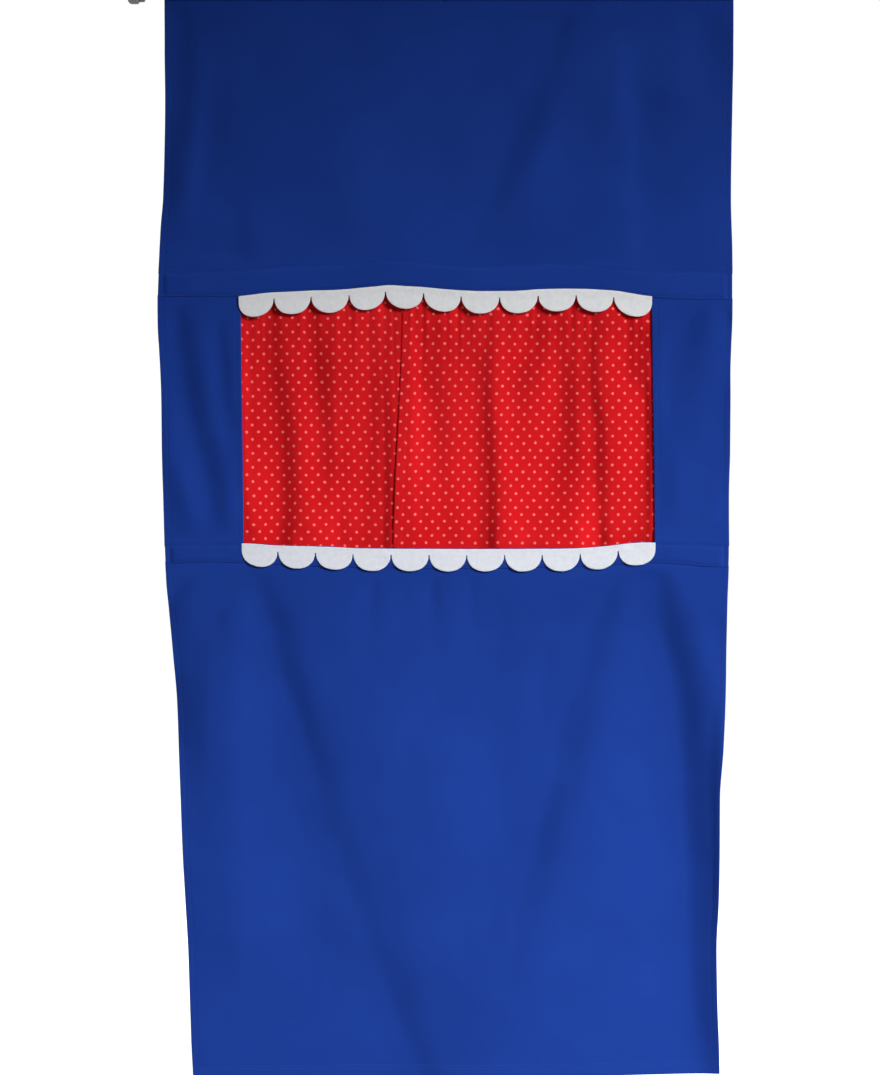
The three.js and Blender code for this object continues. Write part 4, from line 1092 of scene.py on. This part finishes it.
def rod_loop(name, middle_x, replaced):
    """A ribbon sewn to the band's back, round the rod and up again."""
    turn = np.radians(np.linspace(180, 470, 34))
    end_y, end_z = np.linspace(-2.25, -2.75, 6)[1:] * MM, np.linspace(4.4, 10.2, 6)[1:] * MM
    y = np.concatenate([np.full(5, -LOOP_RADIUS), LOOP_RADIUS * np.cos(turn), end_y])
    z = np.concatenate([np.linspace(10.6, 1.2, 5) * MM, LOOP_RADIUS * np.sin(turn), end_z])
    length = length_along(y, z)[:, None]
    x = middle_x + np.array([-7, -6.7, -6, -3, 0, 3, 6, 6.7, 7]) * MM + 0 * length
    middle = np.stack([x, y[:, None] + ROD_Y + 0 * x, z[:, None] + ROD_Z + 0 * x], -1)
    part = sheet_part(middle, np.stack([x, length + 0 * x], -1), LOOP_HALF, LOOP_HALF)
    return piece(name, part, blue_cotton, "cloth_front", replaced)


left_loop = rod_loop("left_loop_ribbon", CURTAIN_LEFT - LOOP_WIDTH / 2 - CLEAR, "left_rod_loop")
right_loop = rod_loop("right_loop_ribbon", CURTAIN_RIGHT + LOOP_WIDTH / 2 + CLEAR, "right_rod_loop")

rod_points, rod_faces, rod_places = lathe_part(rounded(CURTAIN_ROD, 0.8, 6), 48)
rod_part = (rod_points + np.array([0, ROD_Y, ROD_Z]), rod_faces, rod_places)
piece("curtain_rod_steel", rod_part, rigid["tube_metal"], "cloth_front", "curtain_rod")

# The curtain: two gathered halves whose leading edges meet, the right one in front

MEETING = 384 * MM
EDGE_WIDTH = 12 * MM
EDGE_LEAN = 13 * MM
EDGE_LEAN_START = 0.04
UNDER_EDGE = 6 * MM
CURTAIN_TOP = -417.6 * MM
CURTAIN_FOOT = -797 * MM
RED_HALF = 0.25 * MM

# How far back the cloth hangs, behind the window, its sides, the lower band and the other half's hem
FRONT_PLANE = 1.5 * MM
NEAREST = 0.6 * MM
NEAREST_AT_SIDE = 2.2 * MM
NEAREST_AT_BAND = 3.6 * MM
NEAREST_FADE = 0.8 * MM
BEHIND_BAND = -752 * MM
RIM_REACH = 10 * MM
LEFT_BACK = 5.0 * MM
LEFT_BACK_ABOVE = 5.7 * MM
HEMS_PART = (-540 * MM, -620 * MM)
HALVES_CROSS_COLUMNS = (370, 402)
RIGHT_FRONT = 2.8 * MM
RIGHT_FRONT_REACH = 50 * MM

# How its folds fade towards its sides, its top and its leading edges, and its gathers below the heading
SIDE_FADE = 13 * MM
SIDE_FOLD_SHARE = 0.2
TOP_FOLD_SHARE = 0.4
EDGE_FOLD_SHARE = 0.15
FOLDS_OPEN = (-430 * MM, -472 * MM)
HELD_WITHIN = 8 * MM
EDGE_HOLD = 20 * MM
HEADING_FADE = 56 * MM
HEADING_ZONE = 60 * MM
HEADING_DROP = 16 * MM
ZONE_ROWS = 22
LOWER_ROWS = 66
MEASURED_PLACES = 1200
PRINT_PULL = (1.5 * MM, 1.4 * MM)

# The curtain's folds, as the panels' folds are given
LEFT_CURTAIN_FOLDS = [
    (23, 15, (322, 269, 3.5), (370, 271, 6.7), (400, 274, 8.7), (435, 278, 10.9), (470, 279, 12.5),
     (505, 279, 11.3), (541, 277, 11)),
    (19, 15, (322, 317, 3), (370, 315, 5.7), (400, 318, 5.8), (435, 323, 8.4), (470, 324, 9.5),
     (505, 327, 5.5), (541, 334, 5.6)),
    (11, 24, (322, 351, 1.5), (370, 345, 2.4), (435, 345, 6.7), (541, 342, 5.2)),
    (26, 18, (322, 371, 2), (370, 378, 3), (435, 383, 6.6), (541, 377, 9)),
    (10, 26, (322, 251, 2.3), (400, 242, 5.3), (541, 253, -4)),
    (20, 15, (322, 306, 2), (400, 316, 3.7), (541, 303, -2)),
    (17, 11, (322, 372, 0.7), (400, 370, 4.5), (541, 359, 2.7)),
]
RIGHT_CURTAIN_FOLDS = [
    (20, 18, (322, 421, 3.5), (345, 419, 6.4), (370, 421, 6.8), (400, 428, 9.7), (435, 431, 9.9),
     (470, 432, 7.1), (505, 438, 3.5), (541, 446, 6)),
    (26, 17, (322, 455, 3), (345, 446, 4.9), (370, 447, 3.9), (400, 454, 4.4), (541, 456, 3.1)),
    (27, 9, (322, 483, 3.5), (370, 482, 4.5), (400, 482, 6), (435, 484, 6), (505, 487, 6.5),
     (541, 487, 8.1)),
    (22, 17, (322, 542, 3), (345, 532, 8.3), (370, 518, 5.6), (400, 509, 4.8), (435, 507, 2.2),
     (541, 507, 0)),
    (23, 21, (322, 556, 3), (345, 556, 6.5), (370, 556, 10.4), (400, 554, 13.3), (435, 553, 13.7),
     (470, 552, 12.9), (505, 553, 7.3), (541, 549, -1)),
    (16, 10, (322, 590, 4), (345, 586, 7), (370, 587, 6.5), (400, 590, 7.8), (435, 594, 7.5),
     (470, 594, 7.5), (505, 596, 7.5), (541, 598, 12)),
    (20, 19, (322, 636, 2.5), (345, 633, 7.4), (370, 632, 5.5), (400, 645, 7), (541, 632, 8)),
    (19, 12, (322, 472, 0), (400, 475, 5), (541, 477, 5.2)),
    (18, 21, (322, 517, 1.2), (400, 518, 6.6), (541, 530, 4.5)),
    (11, 8, (322, 401, 3.9), (400, 402, 1.7), (541, 427, 0.9)),
    (17, 15, (322, 606, 0), (370, 622, 3), (400, 604, -2), (541, 614, 5)),
    (12, 11, (322, 561, 1.7), (400, 565, 4.3), (541, 577, -1.2)),
]


def between(z, ends):
    """How far down a height lies between two others, from 0 to 1."""
    return smooth((ends[0] - z) / (ends[0] - ends[1]))


def left_plane(x, z):
    """The left half goes back behind the right one's hem, most where only the hems overlap."""
    first, last = (x_at(column) for column in HALVES_CROSS_COLUMNS)
    back = mix(LEFT_BACK_ABOVE, LEFT_BACK, between(z, HEMS_PART))
    return mix(FRONT_PLANE, back, smooth((x - first) / (last - first)))


def right_plane(x, z):
    """The right half's leading edge hangs a little further back, at every height."""
    return mix(RIGHT_FRONT, FRONT_PLANE, smooth((x - MEETING) / RIGHT_FRONT_REACH))


def edge_hold(x):
    """Keeps the folds out of the halves' leading edges."""
    return mix(EDGE_FOLD_SHARE, 1, smooth((np.abs(x - MEETING) - HELD_WITHIN) / EDGE_HOLD))


def lean_at(z):
    """How far the leading edges have moved over each other at a height."""
    share = (CURTAIN_TOP - z) / (CURTAIN_TOP - CURTAIN_FOOT)
    return EDGE_LEAN * smooth((share - EDGE_LEAN_START) / (1 - EDGE_LEAN_START))


def curtain_row(folds, x, z, plane):
    """A curtain's y along one height, from its folds and from the gathers under its heading."""
    to_side = np.minimum(x - window_left(z), window_right(z) - x)
    side_share = mix(SIDE_FOLD_SHARE, 1, smooth(to_side / SIDE_FADE))
    top_share = mix(TOP_FOLD_SHARE, 1, between(z, FOLDS_OPEN))
    depth = fold_depth(folds, x, z, in_panel=False) * edge_hold(x) * side_share * top_share
    gathers = 1.9 * ripples(x, 5.5 * MM, 171) + 2.6 * ripples(x, 10 * MM, 172)
    gathers = gathers * math.exp((z - CURTAIN_TOP) / HEADING_FADE)
    gathers = gathers + 0.25 * ripples(x + 0.05 * z, 19 * MM, 173)
    nearest = mix(NEAREST, NEAREST_AT_SIDE, smooth(1.2 - to_side / RIM_REACH))
    nearest = mix(nearest, NEAREST_AT_BAND, smooth((BEHIND_BAND - z) / RIM_REACH))
    behind = (plane + depth + gathers * MM - nearest) / NEAREST_FADE
    folded = nearest + np.logaddexp(0, behind) * NEAREST_FADE
    return mix(ROD_Y, folded, smooth((CURTAIN_TOP - z) / HEADING_DROP))


def curtain_mesh(folds, start_at, end_at, plane_at, columns, shift):
    """A curtain half's middle points, evenly along the cloth, their flat places and the cloth's width."""
    zone_foot = CURTAIN_TOP - HEADING_ZONE
    in_zone = np.linspace(CURTAIN_TOP, zone_foot, ZONE_ROWS)[:-1]
    heights = np.concatenate([in_zone, np.linspace(zone_foot, CURTAIN_FOOT, LOWER_ROWS)])
    middle, lengths = [], []
    for z in heights:
        x = np.linspace(start_at(z), end_at(z), MEASURED_PLACES)
        y = curtain_row(folds, x, z, plane_at(x, z))
        length = length_along(x, y)
        even = np.linspace(0, length[-1], columns)
        row = [np.interp(even, length, x), np.interp(even, length, y), np.full(columns, z)]
        middle.append(np.stack(row, -1))
        lengths.append(length[-1])
    width = float(np.mean(lengths))
    u = np.linspace(0, width, columns)[None, :] + 0 * heights[:, None]
    v = 0 * u - heights[:, None]
    drawn = 0.7 + 1.1 * np.exp(-(CURTAIN_TOP + v) / HEADING_FADE)
    u_pull = PRINT_PULL[0] * crumple(u, v, 15 * MM, 38 * MM, 176)
    v_pull = PRINT_PULL[1] * crumple(u, v, 12 * MM, 45 * MM, 177)
    flat = np.stack([u + u_pull * drawn, v + v_pull * drawn], -1) + np.array(shift)
    return np.array(middle), flat, width


# The right half is cut from another place on the printed cloth
RIGHT_PRINT_SHIFT = (0.4137, 0.0043)

left_middle, left_flat, left_width = curtain_mesh(
    LEFT_CURTAIN_FOLDS,
    lambda z: CURTAIN_LEFT,
    lambda z: MEETING - EDGE_WIDTH + UNDER_EDGE + lean_at(z),
    left_plane, 150, (0, 0),
)
right_middle, right_flat, right_width = curtain_mesh(
    RIGHT_CURTAIN_FOLDS,
    lambda z: MEETING + EDGE_WIDTH - UNDER_EDGE - lean_at(z),
    lambda z: CURTAIN_RIGHT,
    right_plane, 220, RIGHT_PRINT_SHIFT,
)


def red_piece(name, part, replaced, body="cloth_front"):
    return piece(name, part, red_cotton, body, replaced)


left_curtain = red_piece(
    "left_curtain_cloth", sheet_part(left_middle, left_flat, RED_HALF, RED_HALF), "left_curtain",
)
right_curtain = red_piece(
    "right_curtain_cloth", sheet_part(right_middle, right_flat, RED_HALF, RED_HALF), "right_curtain",
)

CASING_RADIUS = 3.75 * MM
CASING_STEP = 1.6 * MM
FRILL_OPENING = 22
FRILL_Y = np.array([-0.45, -0.5, -0.62, -0.6, -0.35]) * MM
FRILL_Z = np.array([4.6, 6.0, 8.0, 9.4, 10.1]) * MM
GATHERING = 1.25


def heading_part(start, end, gather_start, flat_start):
    """A gathered casing round the curtain rod with a small frill above it."""
    rise = np.radians(np.linspace(270, 90 + FRILL_OPENING, 18))
    fall = np.radians(np.linspace(90 - FRILL_OPENING, -90, 18))
    radius = CASING_RADIUS
    y = np.concatenate([radius * np.cos(rise), FRILL_Y, -FRILL_Y[::-1], radius * np.cos(fall)])
    z = np.concatenate([radius * np.sin(rise), FRILL_Z, FRILL_Z[::-1], radius * np.sin(fall)])
    length = length_along(y, z)[:, None]
    x = np.linspace(start, end, max(8, int((end - start) / CASING_STEP)))[None, :]
    y, z = y[:, None], z[:, None]
    wave = ripples(x, 4.6 * MM, 171) + 0.6 * ripples(x, 8 * MM, 172)
    in_frill = smooth((z - 3.6 * MM) / (3 * MM))
    behind_rod = np.clip(y / CASING_RADIUS, 0, 1) * (1 - in_frill)
    moved_y = y + 0.9 * MM * wave * in_frill + (0.35 + 0.5 * wave) * MM * behind_rod
    moved_z = z + 0.5 * MM * ripples(x, 6 * MM, 175) * in_frill
    middle = np.stack([x + 0 * moved_y, ROD_Y + moved_y, ROD_Z + moved_z], -1)
    across = flat_start + GATHERING * (x - gather_start)
    flat = np.stack([across + 0 * moved_y, length + 0 * moved_y], -1)
    return sheet_part(middle, flat, RED_HALF, RED_HALF)


left_heading = red_piece(
    "left_heading_cloth", heading_part(CURTAIN_LEFT, MEETING - EDGE_WIDTH - CLEAR, CURTAIN_LEFT, 0.0),
    "left_heading",
)
right_heading = red_piece(
    "right_heading_cloth",
    heading_part(MEETING + EDGE_WIDTH + CLEAR, CURTAIN_RIGHT, MEETING, RIGHT_PRINT_SHIFT[0]),
    "right_heading",
)

EDGE_UNDER = 2.4 * MM
EDGE_UNDER_START = 8 * MM
EDGE_UNDER_FADE = 14 * MM
EDGE_GAP = 0.4 * MM
EDGE_GAP_FADE = 6 * MM
EDGE_WAVE = 0.12 * MM
EDGE_FACE = 0.2 * MM

# The hem's fold, as shares: how far each of its lines lies towards its outer edge, and how far back
ACROSS_SHARES = np.array([1, 0.86, 0.6, 0.3, 0.1, 0.02, 0, 0.02, 0.1, 0.3, 0.6, 0.86, 1])
BACK_SHARES = np.array([-1.1, -1.1, -1.05, -1, -0.9, -0.5, 0, 0.5, 0.9, 1, 1.05, 1.1, 1.1])
HEM_STITCH_LINES = (2, -3)
runs_red = {}


def leading_edge(name, side, middle, flat, body, replaced):
    """A half's folded leading hem, round the edge of its cloth, and its piece of the casing."""
    edge_column = 0 if side > 0 else -1
    z = middle[:, edge_column, 2]
    lean = side * lean_at(z)
    outer = MEETING + side * EDGE_WIDTH - lean
    inner = MEETING + side * CLEAR - lean
    if side < 0:
        inner = inner + EDGE_UNDER * smooth((CURTAIN_TOP - EDGE_UNDER_START - z) / EDGE_UNDER_FADE)
    outer_plane = [np.interp(place, row[:, 0], row[:, 1]) for place, row in zip(outer, middle)]
    x = mix(inner[:, None], outer[:, None], ACROSS_SHARES)
    bare = np.clip(2 * ACROSS_SHARES - 1, 0, 1)
    y = mix(middle[:, edge_column, 1, None], np.array(outer_plane)[:, None], bare)
    y = y + BACK_SHARES * EDGE_GAP * smooth((CURTAIN_TOP - z[:, None]) / EDGE_GAP_FADE)
    y = y + EDGE_WAVE * ripples(z, 9 * MM, 181 + side)[:, None] * (1 - ACROSS_SHARES)
    grid = np.stack([x, y, z[:, None] + 0 * x], -1)
    flat_x = flat[:, edge_column, 0, None] + side * (ACROSS_SHARES - 0.5) * EDGE_WIDTH
    flat_grid = np.stack([flat_x, flat[:, edge_column, 1, None] + 0 * flat_x], -1)
    half = mix(EDGE_FACE, EDGE_FACE / 2, smooth(bare))
    hem = sheet_part(grid[:, ::-side], flat_grid[:, ::-side], half, half)
    out = np.tile([0.0, -1.0, 0.0], (len(z), 1))
    runs_red[body] = [
        (grid[:, line] + way * out * EDGE_FACE, way * out) for line, way in zip(HEM_STITCH_LINES, (1, -1))
    ]
    start, end = sorted((MEETING + side * CLEAR, MEETING + side * EDGE_WIDTH))
    casing = heading_part(start, end, start, float(flat_x[0, 6]))
    return red_piece(name, joined(hem, casing), replaced, body)


left_edge = leading_edge("left_edge_hem", -1, left_middle, left_flat, "left_half", "left_leading_edge")
right_edge = leading_edge("right_edge_hem", 1, right_middle, right_flat, "right_half", "right_leading_edge")

piece("cloth_front_stitches", stitch_part(runs_blue), blue_thread, "cloth_front")
piece("trim_stitches", stitch_part([trim_stitches()]), white_thread, "cloth_front")
for body, runs in runs_red.items():
    piece(f"{body}_stitches", stitch_part(runs), red_thread, body)

# The rod's rigid pieces, turned more finely than the solids that they stand for

# Every profile is in millimetres, as points along the rod and their radii, some with a rounding
PAD_RINGS = 3
PAD_RING_PITCH = 3.6
PAD_CORNER = 5.6
SPREAD_CORNER = 3.2
RIGHT_CORNER = 2.5
GRIP_RIBS = 48
LEFT_RIBS = 20
RIGHT_RIBS = 16


def band_of(along, start, start_fade, end, end_fade):
    """One between two places in millimetres, fading to zero past each of them."""
    rising = smooth((along - start * MM) / (start_fade * MM))
    return rising * smooth((end * MM - along) / (end_fade * MM))


def grip_rings(turn, along):
    """Shallow ribs round a pad's rim, which help the hand turn it."""
    ribs = np.clip(np.cos(GRIP_RIBS * turn), -0.2, 1) * 0.18 * MM
    return ribs * band_of(along, 5.2, 1.2, 13.8, 1.2)


def left_flutes(turn, along):
    ribs = smooth((np.cos(LEFT_RIBS * turn) - 0.55) / 0.3) * 0.35 * MM
    return ribs * band_of(along, 25.6, 0.8, 31.2, 0.8)


def right_flutes(turn, along):
    ribs = smooth((np.cos(RIGHT_RIBS * turn) - 0.6) / 0.25) * 0.3 * MM
    return ribs * band_of(along, 886.6, 0.6, 890.2, 0.4)


def corner(along, radius, size, first, last, steps):
    """A round corner about a place, from one angle to another."""
    turn = np.radians(np.linspace(first, last, steps))
    return [(along + size * math.cos(a), radius + size * math.sin(a)) for a in turn]


pad_face = [(0.9, 0), (0.9, 3.0)]
for ring in range(PAD_RINGS):
    radius = 5.2 + PAD_RING_PITCH * ring
    pad_face += [(0.9, radius - 1.2), (0.0, radius - 0.8), (0.0, radius + 0.8), (0.9, radius + 1.2)]
pad_face += [(0.9, 14.2), (0.0, 14.8), (0.0, 15.2)]
pad_shoulder = corner(PAD_CORNER, 15.4, PAD_CORNER, 180, 90, 12)
pad_rim = [(along, 21.0) for along in np.linspace(6.2, 13.4, 10)]
pad_heel = [
    (13.8, 21.0), (14.4, 20.75), (14.85, 20.2), (15.0, 19.6), (15.0, 12.5), (14.8, 12.3), (9.0, 12.3),
    (9.0, 0),
]
left_socket = (
    [(9.3, 0), (9.3, 11.6), (9.7, 12.0), (15.3, 12.0), (15.3, 18.0), (15.7, 18.4)]
    + corner(21.2, 15.2, SPREAD_CORNER, 90, 0, 10)
    + [(24.4, 13.9), (25.2, 13.3), (31.6, 13.3), (32.1, 13.0), (32.3, 12.5), (32.3, 11.3)]
    + [(18.3, 11.3), (18.3, 0)]
)
outer_tube = [(18.6, 10), (612.6, 10), (612.6, 11, 0.3), (18.6, 11, 0.3)]
inner_tube = [(228.1, 7.4), (868.1, 7.4), (868.1, 8.4, 0.3), (228.1, 8.4, 0.3)]
plunger_guide = [
    (850.1, 5.3), (870.4, 5.3, 0.4), (870.4, 8.4, 0.6), (868.4, 8.4, 0.2), (868.4, 7.1, 0.1), (850.1, 7.1),
]
plunger = [(845.8, 0), (845.8, 6.9, 0.5), (849.8, 6.9, 0.5), (849.8, 5, 0.1), (886.7, 5, 0.3), (886.7, 0)]
right_socket = [
    (887.0, 0), (887.0, 5.3, 0.1), (882.7, 5.3, 0.4), (882.7, 10, 0.8), (885.7, 13, 1.0), (890.7, 13, 0.5),
    (890.7, 8, 0.1), (894.7, 8, 0.3), (894.7, 0),
]
right_pad = (
    [(895.0, 0), (895.0, 8.3), (891.0, 8.3), (891.0, 13.9), (891.2, 14.3), (891.7, 14.5), (894, 14.5)]
    + corner(897.5, 12.0, RIGHT_CORNER, 90, 8, 8)
    + [(900.0, 11.6), (900.0, 10.4), (899.3, 10.0), (899.3, 8.2), (900.0, 7.8), (900.0, 5.6), (899.3, 5.2)]
    + [(899.3, 3.2), (900.0, 2.8), (900.0, 0)]
)
for name, profile, sides, flute, slot, body, node in (
    ("left_pad_rubber", pad_face + pad_shoulder + pad_rim + pad_heel, 144, grip_rings, "pad_rubber",
     "rod_outer", "left_end_pad"),
    ("left_socket_plastic", left_socket, 160, left_flutes, "socket_plastic",
     "rod_outer", "left_end_socket"),
    ("outer_tube_steel", rounded(outer_tube, 0.25, 3), 96, None, "tube_metal", "rod_outer", "outer_tube"),
    ("inner_tube_steel", rounded(inner_tube, 0.25, 3), 96, None, "tube_metal", "rod_inner", "inner_tube"),
    ("plunger_guide_ring", rounded(plunger_guide, 0.2, 3), 96, None, "socket_plastic", "rod_inner",
     "plunger_guide"),
    ("right_plunger_rod", rounded(plunger, 0.3, 3), 64, None, "socket_plastic",
     "right_end", "right_plunger"),
    ("right_socket_plastic", rounded(right_socket, 0.2, 4), 120, right_flutes, "socket_plastic",
     "right_end", "right_end_socket"),
    ("right_pad_rubber", right_pad, 120, None, "pad_rubber", "right_end", "right_end_pad"),
):
    piece(name, lathe_part(profile, sides, flute), rigid[slot], body, node)

SPRING_START = 784.95 * MM
SPRING_LENGTH = 59.8 * MM
SPRING_TURNS = 13
SPRING_RADIUS = 5.8 * MM
WIRE_RADIUS = 0.75 * MM
WIRE_SIDES = 12
STEPS_IN_TURN = 36
WIRE_END_SHARE = 0.2


def end_spring():
    """A close wound spring of round wire, whose wire tapers at its two ends."""
    steps = SPRING_TURNS * STEPS_IN_TURN + 1
    turn = np.linspace(0, SPRING_TURNS * 2 * math.pi, steps)
    along = np.linspace(SPRING_START, SPRING_START + SPRING_LENGTH, steps)
    out = np.stack([0 * turn, np.cos(turn), np.sin(turn)], -1)
    centre = SPRING_RADIUS * out
    centre[:, 0] = along
    beside = normalised(np.cross(normalised(np.gradient(centre, axis=0)), out))
    angle = np.linspace(0, 2 * math.pi, WIRE_SIDES, endpoint=False)[:, None]
    ring = out[:, None] * np.cos(angle) + beside[:, None] * np.sin(angle)
    size = np.full((steps, 1, 1), WIRE_RADIUS)
    size[[0, -1]] *= WIRE_END_SHARE
    points = (centre[:, None] + ring * size).reshape(-1, 3)
    index = np.arange(len(points)).reshape(steps, WIRE_SIDES)
    first, last = index[0], index[-1]
    ends = []
    for k in range(1, WIRE_SIDES - 2, 2):
        ends += [first[[0, k + 2, k + 1, k]], last[[0, k, k + 1, k + 2]]]
    return points, np.concatenate([ring_faces(index[:-1], index[1:]), ends]), points[:, :2]


spring = piece(
    "end_spring_wire", end_spring(), rigid["spring_steel"], "rod_inner", "end_spring",
)

for slot, names in (
    ("socket_plastic", ("tube_collar", "lock_sleeve", "lock_stud", "spring_seat")),
    ("batten_plastic", ("upper_batten", "lower_batten")),
):
    for name in names:
        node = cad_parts[name]
        node.data.materials.clear()
        node.data.materials.append(rigid[slot])

# The curtain pieces and the spring get meshes of their own

IN_HEM = EDGE_WIDTH - UNDER_EDGE - EDGE_LEAN / 2
for cloth, edge in ((left_curtain, MEETING - IN_HEM), (left_heading, MEETING - EDGE_WIDTH)):
    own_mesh(cloth)
for cloth, edge in ((right_curtain, MEETING + IN_HEM), (right_heading, MEETING + EDGE_WIDTH)):
    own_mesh(cloth)
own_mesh(spring)

# The camera, the light and the floor

CAMERA_AWAY = 4.0
SENSOR = 36.0
FLOOR_Z = -1.6
FLOOR_REACH = 9.0
WHITE = (1, 1, 1, 1)
camera = bpy.data.cameras.new("camera")
camera.sensor_width = SENSOR
camera.lens = SENSOR * CAMERA_AWAY / (PHOTO_HEIGHT * PIXEL)
camera.clip_end = 50
camera_object = bpy.data.objects.new("camera", camera)
camera_object.location = (x_at(PHOTO_WIDTH / 2), -CAMERA_AWAY, z_at(PHOTO_HEIGHT / 2))
camera_object.rotation_euler = (math.pi / 2, 0, 0)
bpy.context.scene.collection.objects.link(camera_object)
bpy.context.scene.camera = camera_object


def soft_lamp(name, place, aim, size, power, beam=180.0):
    lamp = bpy.data.lights.new(name, "AREA")
    lamp.shape = "SQUARE"
    lamp.size = size
    lamp.energy = power
    lamp.spread = math.radians(beam)
    made = bpy.data.objects.new(name, lamp)
    made.location = place
    made.rotation_euler = (Vector(aim) - Vector(place)).to_track_quat("-Z", "Y").to_euler()
    made.visible_camera = False
    bpy.context.scene.collection.objects.link(made)


soft_lamp("key_lamp", place=(4.0, -4.0, 1.5), aim=(0.324, 0, -1.806), size=1.6, power=30.8, beam=38.3)
soft_lamp("back_lamp", place=(0.1, 2.6, 0.3), aim=(0.42, 0, -0.7), size=1.6, power=34)

nodes = material_nodes("pale_floor")
glow = nodes.ramp(nodes.vector("LENGTH", nodes.solid()), 1.9, 3.4, 0.84, 1.0)
white = nodes.node("ShaderNodeBsdfDiffuse", {"Color": (0.86, 0.86, 0.86, 1)})
dim = nodes.node("ShaderNodeBsdfDiffuse", {"Color": (0.42, 0.42, 0.42, 1)})
bright = nodes.node("ShaderNodeEmission", {"Color": WHITE, "Strength": glow})
both = nodes.node("ShaderNodeAddShader", {0: white.outputs[0], 1: bright.outputs[0]})
floor_mesh = bpy.data.meshes.new("floor")
corners = [(x * FLOOR_REACH, y * FLOOR_REACH, FLOOR_Z) for x, y in ((-1, -1), (1, -1), (1, 1), (-1, 1))]
floor_mesh.from_pydata(corners, [], [(0, 1, 2, 3)])
floor_mesh.materials.append(nodes.surface(nodes.where_seen(dim, both)))
floor = bpy.data.objects.new("floor", floor_mesh)
bpy.context.scene.collection.objects.link(floor)

world = bpy.data.worlds.new("world")
bpy.context.scene.world = world
nodes = Nodes(world)
fill = nodes.node("ShaderNodeBackground", {"Color": WHITE, "Strength": 0.12})
backdrop = nodes.node("ShaderNodeBackground", {"Color": WHITE, "Strength": 1.0})
nodes.surface(nodes.where_seen(fill, backdrop), "ShaderNodeOutputWorld")
bpy.context.scene.view_settings.view_transform = "Standard"
